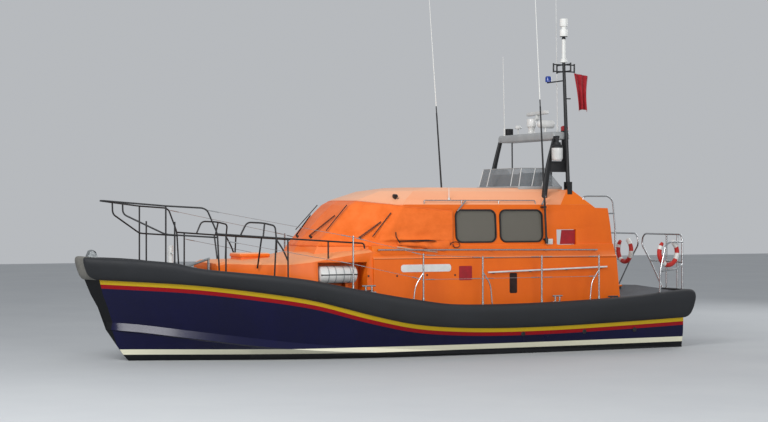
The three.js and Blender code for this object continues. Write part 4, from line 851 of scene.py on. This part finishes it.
def dress_side():
    """Plates, recesses, steps, lines and fittings on the cabin's side; the step recesses are dark plates of
    painted shadow.
    """
    build("blank_name_plate", both([wall_slab(-0.892, 0.276, 1.765, 1.92, 0.06, 0.006)]), "white")
    build("hose_recesses", both([wall_slab(-1.392, -1.082, 1.574, 1.875, 0.02, 0.004)]), "red")
    panel = [(-3.70, 2.62), (-4.042, 2.62), (-4.042, 2.31), (-3.66, 2.31)]
    build("wing_opening_panels", both([slab(panel, "Y", 1.428, 1.440)]), "red")
    # The step recesses are flat plates of painted shadow on the wall.
    build("step_recess_shadows", both([wall_slab(-2.484, -2.300, 1.276, 1.708, 0.03, 0.003)]), "painted_shadow")
    build("boathook", both([rod((-1.76, 1.655, 1.73), (-4.73, 1.655, 1.81), 0.019)]), "white")
    clips = [block((x - 0.02, 1.60, z - 0.03), (x + 0.02, 1.66, z + 0.012), 0.006)
             for x, z in [(-1.9, 1.733), (-2.8, 1.757), (-3.7, 1.781), (-4.6, 1.805)]]
    build("boathook_clips", both(clips), "black")
    dots = [turned([[0, 0], [0.02, 0], [0.02, 0.008], [0, 0.012]], (x, side_y(x, 1.7), z), "Y", 12)
            for x, z in [(1.018, 1.70), (0.368, 1.689), (-0.327, 1.698), (-0.986, 1.687)]]
    build("vent_plugs", both(dots), "black")
    build("aerial_base_boxes", both([block((-3.43, 1.478, 2.31), (-3.29, 1.53, 2.43), 0.01)]), "white")
    seam = rod((0.89, 1.607, 2.045), (-4.99, 1.609, 2.020), 0.006, None, 8)
    build("rubbing_seams", both([seam]), "gasket")


def dress_raft():
    """A white canister: a round-ended drum in two shells with a black joint band and thin straps."""
    x0, x1, y, z, r = 1.18, 2.05, 1.325, 1.73, 0.182
    for hand, side in SIDES.items():
        half = (x1 - x0) / 2
        profile = [[0, -half], [0.08, -half + 0.002], [0.13, -half + 0.012], [0.165, -half + 0.035],
                   [r - 0.004, -half + 0.07], [r - 0.004, half - 0.07], [0.165, half - 0.035],
                   [0.13, half - 0.012], [0.08, half - 0.002], [0, half]]
        drum = turned(profile, ((x0 + x1) / 2, side * y, z), "X", 40)
        build(f"raft_drum_{hand}", [drum], "raft", stands_for=[f"liferaft_{hand}"])
        joint = block((x0 + 0.03, side * y - r, z - 0.012), (x1 - 0.03, side * y + r, z + 0.012), 0.004)
        build(f"raft_joint_{hand}", [joint], "gasket")
        straps = [turned([[r - 0.006, x - 0.012], [r, x - 0.012], [r, x + 0.012], [r - 0.006, x + 0.012]],
                         (0, side * y, z), "X", 40) for x in (1.36, 1.51, 1.69, 1.85)]
        build(f"raft_straps_{hand}", straps, "grey")


# Foredeck rails to port, in millimetres; each row is one bent tube.
FOREDECK_RAILS = [
    [[6217, 0, 3247], [6190, 140, 3245], [5137, 905, 3140], [4470, 1215, 3100], [4384, 1250, 3050],
     [4191, 1300, 2590], [4150, 1300, 1850]],
    [[5870, 372, 3210], [5864, 372, 2978], [5137, 890, 2572], [4184, 1300, 2510]],
    [[5137, 905, 3140], [5137, 905, 1960]],
    [[4970, 962, 2825], [4970, 962, 1930]],
    [[4184, 1300, 2580], [2770, 1530, 2480], [1850, 1450, 2420], [1060, 1470, 2370], [1040, 1470, 2260]],
    [[3008, 1496, 2497], [3040, 1480, 1690]],
    [[3300, 1440, 2515], [3300, 1200, 1880]],
    [[3020, 1486, 2490], [2880, 1530, 2270], [2782, 1560, 2041]],
    [[2770, 1530, 2480], [2790, 1600, 1660]],
    [[1850, 1450, 2420], [1850, 1450, 2060]],
    [[4018, 1325, 2570], [4018, 1325, 1790]],
]
# The raised loop on each side rail, and its inner post.
RAIL_LOOP = [
    [[3728, 1370, 2550], [3602, 1400, 2813], [3251, 1400, 2798], [3036, 1420, 2747], [3008, 1440, 2700],
     [3008, 1496, 2497]],
    [[3270, 1446, 2517], [3223, 1403, 2797]],
]
# Side stanchions. Columns: x, y, top z, lower wire z, how far its stay leans forward (aft where negative).
STANCHIONS = [(1485, 1890, 2535, 1960, 0), (-60, 1985, 2160, 1620, 230), (-1450, 1985, 2090, 1620, -230),
              (-2880, 1985, 2090, 1620, 0), (-4330, 1960, 2080, 1620, 230)]


def deck_z(x, y):
    """Height of the deck at (x, y)."""
    half = float(along(SHEER, 1, np.array(x)))
    return float(along(SHEER, 2, np.array(x))) + 0.07 * half / 2 * (1 - abs(y) / half)


def guard_rail():
    """Stanchions on flanges, some with a bent stay, and two taut wires with their end fittings."""
    posts, wires = [], []
    for x, y, top, _, lean in np.array(STANCHIONS) / 1000:
        z = deck_z(x, y)
        posts += [tube([(x, y, z - 0.02), (x, y, top)], 0.019),
                  turned([[0, 0], [0.042, 0], [0.042, 0.02], [0.028, 0.03], [0.026, 0.11], [0, 0.11]],
                         (x, y, z), "Z", 18)]
        if lean:
            posts.append(tube([(x, y, 1.76), (x + lean * 0.8, y, 1.50),
                               (x + lean, y, deck_z(x + lean, y))], 0.014, 0.12))
    tops = [(x, y, top - 30) for x, y, top, _, _ in STANCHIONS]
    lows = [(x, y, wire) for x, y, _, wire, _ in STANCHIONS]
    for first, line in (((4400, 1245, 3060), tops), ((4018, 1325, 2440), lows)):
        line = np.array([first, *line]) / 1000
        wires.append(sweep(line, circle(0.005, 8), up=(0, 1, 0)))
        for a, b in zip(line[:-1], line[1:]):
            way = (b - a) / np.linalg.norm(b - a)
            wires += [rod(a + way * 0.06, a + way * 0.26, 0.010, None, 10),
                      rod(b - way * 0.26, b - way * 0.06, 0.010, None, 10)]
    return posts + wires


def stern_rail():
    """A braced frame across the transom and two tubes that bend round the quarter."""
    x, foot, quarter = -6.70, 1.2904, 1.236
    frame_line = [(x, 1.69, foot), (x, 1.69, 2.43), (x, 1.61, 2.505), (x, 0.20, 2.505), (x, 0.10, 2.41),
                  (x, 0.08, 2.24), (x, 0.40, 1.905), (x, 0.90, foot)]
    upper = [(-5.89, 2.0, quarter), (-5.897, 2.0, 1.707), (-6.065, 1.966, 2.278), (-6.2, 1.939, 2.344),
             (-6.488, 1.881, 2.344), (-6.62, 1.79, 2.344), (x, 1.69, 2.344)]
    lower = [(-5.897, 2.0, 1.707), (-6.398, 1.899, 1.737), (-6.6, 1.8, 1.827), (x, 1.69, 1.85)]
    flange = [[0, 0], [0.034, 0], [0.034, 0.008], [0.024, 0.012], [0, 0.012]]
    return [
        tube(frame_line, 0.020, 0.13), tube([(x, 0.415, 1.885), (x, 1.69, 1.885)], 0.020),
        tube([(x, 1.50, 2.505), (x, 1.50, foot)], 0.020), tube([(x, 1.075, 2.505), (x, 1.075, foot)], 0.020),
        tube(upper, 0.020), tube(lower, 0.020),
        *(turned(flange, (x, y, foot), "Z", 20) for y in (0.90, 1.075, 1.50, 1.69)),
        turned([[0, 0], [0.034, 0], [0.034, 0.01], [0, 0.012]], (-5.89, 2.0, quarter), "Z", 20),
    ]


def aft_handrail():
    """One tube from the roof down the wing wall's aft edge, with two short standoffs."""
    return [tube([(-4.265, 1.405, 3.28), (-4.275, 1.405, 3.342), (-4.361, 1.405, 3.362),
                  (-4.923, 1.405, 3.363), (-5.04, 1.405, 3.26), (-5.105, 1.405, 2.611),
                  (-5.125, 1.405, 1.15)]),
            tube([(-4.9, 1.405, 2.981), (-5.072, 1.405, 2.981)]),
            tube([(-5.0, 1.405, 1.9), (-5.113, 1.405, 1.9)])]


def grab_rail():
    """A long tube at the cabin's waist on five standoffs."""
    shapes = [tube([(0.82, 1.655, 2.235), (0.78, 1.655, 2.235), (-4.48, 1.655, 2.185)], 0.018)]
    for x in (0.78, -0.54, -1.86, -3.18, -4.44):
        z = 2.227 + (x - 0.78) * 0.0095
        shapes.append(rod((x, 1.53, z), (x, 1.655, z), 0.012, None, 10))
    return shapes


def dress_rails():
    """Bent and welded tube: black round the foredeck, polished along the sides and stern."""
    fore = [tube(np.array(row) / 1000) for row in FOREDECK_RAILS]
    build("foredeck_tubes", both(fore), "black", stands_for=["foredeck_rails"])
    loop = [tube(np.array(row) / 1000) for row in RAIL_LOOP]
    rails = [("loop", loop, "black", "rail_loop"), ("guard", guard_rail(), "steel", "guard_rail"),
             ("stern", stern_rail(), "steel", "stern_rail"),
             ("aft_handrail", aft_handrail(), "steel", "aft_handrail"),
             ("grab", grab_rail(), "steel", "grab_rail")]
    for hand, side in SIDES.items():
        for name, shapes, finish, node in rails:
            build(f"{name}_tubes_{hand}", on_side(shapes, side), finish,
                  stands_for=[f"{node}_{hand}"])


def dress_roof():
    """Handrails and their stays along the roof's edges, a lamp at each front corner, a stub aerial."""
    rails = [tube([(-0.365, 1.40, 3.19), (-0.36, 1.40, 3.262), (-3.05, 1.40, 3.264), (-3.06, 1.40, 3.19)],
                  0.011, 0.05)]
    rails += [rod((x, 1.40, 3.19), (x, 1.40, 3.262), 0.009, None, 8) for x in (-1.25, -2.15)]
    for a, b in [((-1.11, 1.475, 3.03), (-1.35, 1.42, 3.265)), ((-3.19, 1.46, 3.165), (-3.316, 1.40, 3.361))]:
        rails.append(rod(a, b, 0.016, None, 8))
    build("roof_handrails", both(rails), "steel")
    x, y = 0.19, 1.16
    lamps = [rod((x, y, 3.22), (x, y, 3.33), 0.018, None, 12), block((0.10, 1.13, 3.22), (0.16, 1.19, 3.30)),
             turned([[0, -0.05], [0.03, -0.045], [0.042, -0.02], [0.045, 0.05], [0, 0.055]],
                    (x, y, 3.35), "X")]
    build("roof_lamps", both(lamps), "black")
    x, y = -1.005, 1.30
    stub = [rod((x, y, 3.27), (x, y, 3.525), 0.012, 0.006, 10),
            rod((x, y, 3.27), (x, y, 3.32), 0.03, 0.02, 14)]
    build("roof_stub_aerial", stub, "white")


def dress_upper_helm():
    """The upper helm's screen has pale ribs that lean aft with its panes, and a grey top edge; the
    small wheel and two displays stand at the console."""
    ribs = [rod((x, 0.940, 3.582), (x - 0.12, 0.886, 3.978), 0.009, None, 8) for x in (-3.24, -3.50)]
    ribs += [rod((-2.922, y, 3.582), (-3.012, y * 0.95, 3.978), 0.009, None, 8) for y in (0.55, 0.925)]
    build("screen_ribs", both(ribs), "white")
    rim = np.array([(-3.64, 0.876, 3.98), (-3.019, 0.876, 3.98), (-3.019, -0.876, 3.98),
                    (-3.64, -0.876, 3.98)])
    build("screen_top_edge", [sweep(rim, circle(0.008, 8), up=(0, 0, 1))], "grey")
    hub = np.array([-3.345, 0.3, 3.77])
    a = np.linspace(0, 2 * math.pi, 48, endpoint=False)
    rim = hub + 0.125 * np.stack([0 * a, np.cos(a), np.sin(a)], -1)
    shapes = [sweep(rim, circle(0.013, 12), closed=True, up=(1, 0, 0))]
    for turn in (math.pi / 2, math.pi * 7 / 6, math.pi * 11 / 6):
        tip = hub + 0.122 * np.array([0, math.cos(turn), math.sin(turn)])
        shapes.append(rod(hub - [0.008, 0, 0], tip, 0.009, 0.007, 8))
    shapes.append(rod(hub - [0.02, 0, 0], hub + [0.0445, 0, 0], 0.024, 0.02, 20))
    build("small_steering_wheel", shapes, "plastic", body="wheel",
          stands_for=["upper_helm_wheel"])
    build("upper_displays", [block((-3.318, y - 0.12, 3.66), (-3.301, y + 0.12, 3.83), 0.006)
                             for y in (-0.34, -0.05)], "screen")


def dress_arch():
    """The grey beam, a stack of round-cornered outlines, and its raked black legs."""
    x, z, half, deep = ARCH_X, ARCH_Z, ARCH_HALF, 0.42
    levels = []
    for h, inset in [(z, 0.02), (z + 0.012, 0.004), (z + 0.03, 0), (z + 0.1, 0), (z + 0.14, 0.012),
                     (z + 0.162, 0.032), (z + 0.1695, 0.055)]:
        flat = rounded_outline(x - deep / 2 + inset * 0.6, x + deep / 2 - inset * 0.6, -half + inset,
                               half - inset, 0.05)
        levels.append(np.column_stack([flat, np.full(len(flat), h)]))
    build("arch_beam", [lattice(np.stack(levels))], "grey", stands_for=["radar_arch"])
    y = half - 0.045
    rings = []
    leg = [[z + 0.02, x + 0.208, 0.09], [3.98, x + 0.385, 0.11], [3.28, x + 0.49, 0.118]]
    for h, fore, w in through(leg, 6):
        flat = rounded_outline(fore - w, fore, y - 0.032, y + 0.032, 0.016, 3)
        rings.append(np.column_stack([flat, np.full(len(flat), h)]))
    legs = [lattice(np.stack(rings)), rod((x - 0.15, y, z + 0.03), (x - 0.16, y, 3.42), 0.016)]
    build("arch_legs", both(legs), "leg")


def dress_arch_fittings():
    """Panels, the searchlight, aerials and lamps that the arch carries."""
    x, z, top = ARCH_X, ARCH_Z, ARCH_TOP
    plastics = [
        block((x + 0.01, -1.08, top - 0.002), (x + 0.16, -0.88, top + 0.15), 0.012),
        block((x - 0.185, 1.125, top - 0.004), (x - 0.055, 1.245, top + 0.025), 0.008),
        block((x - 0.16, 1.212, 3.89), (x + 0.29, 1.238, 4.13), 0.008),
        block((x - 0.16, 1.212, 4.12), (x - 0.02, 1.238, z + 0.02), 0.006),
        block((x + 0.15, 1.20, z + 0.02), (x + 0.205, 1.425, z + 0.07), 0.008),
        turned([[0.118, 0.27], [0.124, 0.275], [0.124, 0.31], [0.086, 0.345], [0.078, 0.40], [0, 0.402]],
               (x + 0.19, 1.385, z - 0.47), "Z"),
        rod((x + 0.19, 1.385, z + 0.04), (x + 0.19, 1.385, z - 0.08), 0.04),
    ]
    build("arch_black_fittings", plastics, "plastic")
    whites = [
        turned([[0, -0.01], [0.02, -0.01], [0.018, 0.14], [0.07, 0.142], [0.08, 0.17], [0.06, 0.215],
                [0.03, 0.23], [0, 0.232]], (x - 0.04, -0.74, top), "Z"),
        rod((x - 0.03, 0.5, top - 0.01), (x - 0.03, 0.5, top + 0.13), 0.03),
        turned([[0, -0.205], [0.075, -0.205], [0.09, -0.19], [0.092, -0.175], [0.092, 0.12], [0.078, 0.16],
                [0.05, 0.19], [0, 0.205]], (x - 0.03, 0.5, top + 0.197), "X"),
        turned([[0, 0], [0.09, 0], [0.104, 0.008], [0.122, 0.045], [0.122, 0.29], [0.112, 0.30], [0, 0.30]],
               (x + 0.19, 1.385, z - 0.47), "Z"),
    ]
    build("arch_white_fittings", whites, "white")
    build("arch_red_lamp", [turned([[0, 0], [0.08, 0], [0.086, 0.008], [0.086, 0.085], [0.07, 0.105],
                                    [0.04, 0.116], [0, 0.118]], (x - 0.12, 1.185, top + 0.02), "Z")],
          "red_lens")
    masts = []
    for wx, wy, high_z in [(x + 0.19, -0.98, 6.6), (x - 0.13, 0.86, 7.9)]:
        masts += [turned([[0, 0], [0.026, 0], [0.026, 0.16], [0.016, 0.2], [0, 0.2]],
                         (wx, wy, top - 0.02), "Z", 16),
                  rod((wx, wy, top + 0.15), (wx + 0.04, wy, high_z), 0.013, 0.007, 10)]
    build("arch_aerials", masts, "white")


def dress_radar():
    """A stepped drum with its turning head, and the bar: a squared oval narrowed at both ends."""
    foot, turn = -3.775, -3.93
    base = ARCH_TOP + 0.0004
    pedestal = [
        turned([[0, 0], [0.1, 0], [0.1, 0.018], [0.085, 0.026], [0.078, 0.04], [0.076, 0.13], [0.084, 0.145],
                [0.11, 0.162], [0.11, 0.31], [0.104, 0.332], [0.085, 0.345], [0, 0.345]],
               (foot, 0, base), "Z", 36),
        rod((foot, 0, base + 0.29), (turn, 0, base + 0.345), 0.045),
        turned([[0, 0.33], [0.045, 0.33], [0.05, 0.335], [0.05, 0.4], [0, 0.4]], (turn, 0, base), "Z", 28),
    ]
    build("radar_drum", pedestal, "white", stands_for=["radar_pedestal"])
    bar = base + 0.4
    yaw = math.radians(-8)
    across = np.array([-math.sin(yaw), math.cos(yaw), 0])
    line = np.array([turn, 0, bar + 0.068]) + np.linspace(-0.59, 0.59, 24)[:, None] * across
    ends = 1 - 0.35 * np.abs(np.linspace(-1, 1, 24)) ** 14
    t = np.linspace(0, 2 * math.pi, 28, endpoint=False)
    round_section = np.stack([np.cos(t), np.sin(t)], -1)
    section = 0.0475 * np.sign(round_section) * np.sqrt(np.abs(round_section))
    build("radar_bar", [turned([[0, 0], [0.05, 0], [0.05, 0.03], [0, 0.03]], (turn, 0, bar), "Z", 24),
                        sweep(line, section * [1.2, 1], up=(0, 0, 1), scale=ends)],
          "white", body="scanner", stands_for=["radar_scanner"])


def dress_mast():
    """The folding mast: a tapered black pole, a white flare, stacked lamps and two crosstrees."""
    x, foot, y, pivot = (MAST[key] for key in ("x", "foot_x", "y", "pivot"))
    pole = rod((foot, y, pivot - 0.04), (x, y, 6.3), 0.046, 0.036, 28)
    top = [[0, 0], [0.08, 0], [0.08, 0.03], [0.042, 0.1], [0.042, 0.49], [0.05, 0.495], [0.05, 0.51],
           [0.03, 0.56], [0.084, 0.562], [0.088, 0.57], [0.088, 0.71], [0.084, 0.72], [0.05, 0.722],
           [0.05, 0.79], [0.084, 0.79], [0.088, 0.8], [0.088, 0.95], [0.07, 0.962], [0, 0.965]]
    shapes = [pole, turned(top, (x, y, 6.295), "Z"),
              rod((foot, y - 0.0505, pivot), (foot, y + 0.0505, pivot), 0.024)]
    for h in (6.08, 6.23):
        shapes += [block((x - 0.28, y - 0.012, h), (x + 0.27, y + 0.012, h + 0.024), 0.004),
                   block((x - 0.012, y - 0.30, h), (x + 0.012, y + 0.30, h + 0.024), 0.004)]
    for dx, dy in [(-0.27, 0), (0.26, 0), (0, -0.29), (0, 0.29)]:
        shapes.append(rod((x + dx, y + dy, 6.07), (x + dx, y + dy, 6.27), 0.018))
    shapes += [rod((x, y, 5.895), (x, y - 0.70, 5.895), 0.015),
               rod((x, y, 5.5), (x - 0.16, y + 0.02, 5.5), 0.014)]
    build("mast_and_lamps", shapes, "mast", body="mast", stands_for=["mast"])
    build("mast_blue_lamp", [turned([[0, 0], [0.07, 0], [0.072, 0.1], [0.055, 0.13], [0, 0.142]],
                                    (x, y - 0.66, 5.905), "Z")], "blue_lens", body="mast")


def dress_whips():
    """Whip aerials beside the house: two tapered lengths on a collar, with brackets from the wall."""
    low, joint, high = 2.33, 5.3, 7.95
    for name, side, foot, lean in [("whip_port", 1, -3.25, 0.30), ("whip_starboard", -1, -2.37, 0.41)]:
        wy = side * 1.56
        at = lambda z: foot + lean * (z - low) / (high - low)
        collar = [[0, 0], [0.034, 0], [0.034, 0.1], [0.024, 0.14], [0, 0.14]]
        shapes = [rod((at(low), wy, low), (at(joint), wy, joint), 0.024, 0.017, 12),
                  rod((at(5.29), wy, 5.29), (at(high), wy, high), 0.013, 0.006, 10),
                  turned(collar, (at(low), wy, low), "Z", 18)]
        for z in (2.42, 3.12):
            wall = side * side_y(at(z), z)
            shapes.append(block((at(z) - 0.04, min(wall, wy), z - 0.02),
                                (at(z) + 0.04, max(wall, wy) + 0.01, z + 0.02), 0.006))
        build(f"{name}_aerial", shapes, "whip", stands_for=[name])


def dress_ensign():
    """Bunting hung from its top corner: a sheet whose width gathers into upright folds as it falls."""
    x, y = MAST["x"], MAST["y"]
    rows, columns = 60, 80
    u = np.linspace(0, 1, columns)[None, :]
    v = np.linspace(0, 1, rows)[:, None]
    fall = 0.84 * v + 0.05 * u * (1 - v)
    spread = 0.36 * (1 - 0.12 * np.sin(math.pi * v))
    px = x - 0.262 - 0.10 * v * (1 - u) - spread * u - 0.02 * np.sin(3 * v)
    py = y + 0.045 * np.sin(2 * math.pi * 2.6 * u + 1.3 * v) * (0.35 + 0.65 * v)
    pz = 6.065 - fall * (1 - 0.06 * np.sin(math.pi * u))
    grid = np.stack([px + 0 * v, py, pz + 0 * u], -1)
    cloth("ensign_cloth", grid, "flag", 0.9, "hung", ["mast_and_lamps"], thickness=0.0015,
          body="mast", stands_for=["ensign"])


def dress_lifebuoys():
    """Horseshoe buoys, open at the top: a flattened oval carried round a circle and narrowed at both
    ends, with tape round it."""
    yaw = math.atan2(0.101, 0.501)
    reach = 0.02 * 0.99 + 0.0554
    port = (-6.215 + (reach - 0.00075) * math.sin(yaw), 1.936 - (reach - 0.00075) * math.cos(yaw), 2.11)
    for hand, centre, way in [("port", port, (-math.cos(yaw), -math.sin(yaw), 0)),
                              ("starboard", (-6.70 + reach, -0.545, 2.11), (0, 1, 0))]:
        centre, way = np.array(centre), np.array(way)
        level = np.cross(way, (0, 0, 1))
        arc = lambda a: centre + 0.2775 * (np.cos(a)[:, None] * way + np.sin(a)[:, None] * (0, 0, 1))
        a = np.linspace(math.pi / 2 + 0.72, 2.5 * math.pi - 0.72, 60)
        swell = 1 - 0.3 * np.abs(np.linspace(-1, 1, 60)) ** 8
        ring = sweep(arc(a), circle(0.0535, 18, 0.97), up=level, scale=swell)
        buoy = build(f"horseshoe_buoy_{hand}", [ring], "buoy", stands_for=[f"lifebuoy_{hand}"], sharp=60)
        bands = [sweep(arc(np.linspace(middle - wide, middle + wide, 9)), circle(0.0546, 18, 0.975), up=level)
                 for middle, wide in [(7.05, 0.28), (5.95, 0.28), (4.15, 0.16), (2.75, 0.14)]]
        build(f"buoy_tape_{hand}", bands, "reflective")


def dress_hull_fittings():
    """Scuppers, towing eye, bow fairlead, intake bars that hang a little below the bottom, and two
    horn cleats on each side deck: a round bar on two round feet, over a plate at the deck's height."""
    spouts = []
    for x in (-2.42, -3.95, -5.25):
        y = float(along(KNUCKLE, 1, np.array(x)))
        spouts.append(turned([[0, 0], [0.05, 0], [0.05, 0.015], [0.032, 0.02], [0, 0.02]],
                             (x, y + 0.012, 0.43), "Y", 20))
    build("scupper_spouts", both(spouts), "black")
    t = np.linspace(0, 2 * math.pi, 24, endpoint=False)
    ring = np.stack([5.72 + 0.05 * np.cos(t), 0 * t, 0.24 + 0.05 * np.sin(t)], -1)
    build("towing_eye", [sweep(ring, circle(0.012, 10), closed=True, up=(0, 1, 0))], "galvanised")
    grilles = []
    for y in (JET_Y, -JET_Y):
        for k in range(9):
            gy = y - 0.2 + 0.05 * k
            z = -0.63 + abs(gy) * 0.20
            grilles.append(block((-4.9, gy - 0.006, z - 0.04), (-4.2, gy + 0.006, z - 0.01), 0.004, 2))
    build("intake_grilles", grilles, "alloy")
    hump = []
    for x, h, w in [(6.28, 2.06, 0.12), (6.33, 2.19, 0.11), (6.4, 2.262, 0.10), (6.46, 2.24, 0.10),
                    (6.5, 2.15, 0.10), (6.52, 2.06, 0.10)]:
        hump.append([[x, -w, 2.04], [x, -w, h - 0.02], [x, -w + 0.02, h], [x, w - 0.02, h], [x, w, h - 0.02],
                     [x, w, 2.04]])
    build("bow_fairlead", [lattice(np.array(hump))], "galvanised")
    cleats = []
    for x, y, reach in [(1.18, 1.98, 0.15), (-3.27, 1.98, 0.12)]:
        z = deck_z(x, y) + 0.05
        cleats.append(block((x - reach, y - 0.05, z - 0.06), (x + reach, y + 0.05, z), 0.006, 2))
        for apart in (-0.45 * reach, 0.45 * reach):
            cleats.append(rod((x + apart, y, z - 0.01), (x + apart, y, z + 0.11), 0.019, None, 16))
        cleats.append(rod((x - reach, y, z + 0.115), (x + reach, y, z + 0.115), 0.017, None, 16))
    build("mooring_cleats", both(cleats), "steel")


def dress_interior():
    """Displays on the helm console, and the aft door's handle and pane."""
    screens = [block((0.50, y - 0.17, 1.96), (0.53, y + 0.17, 2.14), 0.01) for y in (-0.8, -0.3, 0.3, 0.8)]
    build("helm_displays", screens, "screen")
    x, y = -3.575, -0.27
    handle = [rod((x, y, 1.95), (x, y, 2.15), 0.010),
              *(rod((x, y, z), (x + 0.02, y, z), 0.008) for z in (1.96, 2.14))]
    build("door_handle", handle, "steel", body="door")
    pane = slab(rounded_outline(-0.18, 0.18, 2.25, 2.80, 0.08), "X", -3.543, -3.535)
    build("door_pane", [pane], "glass", body="door")


def stage():
    """A plain pale floor at the waterline, soft lights and a grey world."""
    floor = bpy.data.meshes.new("floor")
    floor.from_pydata([(-60, -60, 0), (60, -60, 0), (60, 60, 0), (-60, 60, 0)], [], [(0, 1, 2, 3)])
    floor.materials.append(FINISH["floor"])
    placed("floor", floor)
    world = bpy.data.worlds.new("studio")
    bpy.context.scene.world = world
    world.use_nodes = True
    back = world.node_tree.nodes["Background"]
    back.inputs["Color"].default_value = (0.86, 0.89, 0.93, 1)
    back.inputs["Strength"].default_value = 0.55
    bpy.context.scene.view_settings.view_transform = "Standard"
    for name, where, size, power in [
        ("sky_panel", (16, 13, 15), 9, 2900), ("fill_panel", (2, 28, 8), 12, 2300),
        ("stern_panel", (-18, -6, 10), 10, 700),
    ]:
        light = bpy.data.lights.new(name, "AREA")
        light.size = size
        light.energy = power
        lamp = placed(name, light)
        lamp.location = where
        aim = Vector((0, 0, 1.5)) - Vector(where)
        lamp.rotation_euler = aim.to_track_quat("-Z", "Y").to_euler()


for dress in (
    dress_hull, dress_fender, dress_cabin, dress_windows, dress_cover, dress_loose_flap, dress_straps,
    dress_wipers, dress_side, dress_raft, dress_rails, dress_roof, dress_upper_helm, dress_arch,
    dress_arch_fittings, dress_radar, dress_mast, dress_whips, dress_ensign, dress_lifebuoys,
    dress_hull_fittings, dress_interior, stage,
):
    dress()
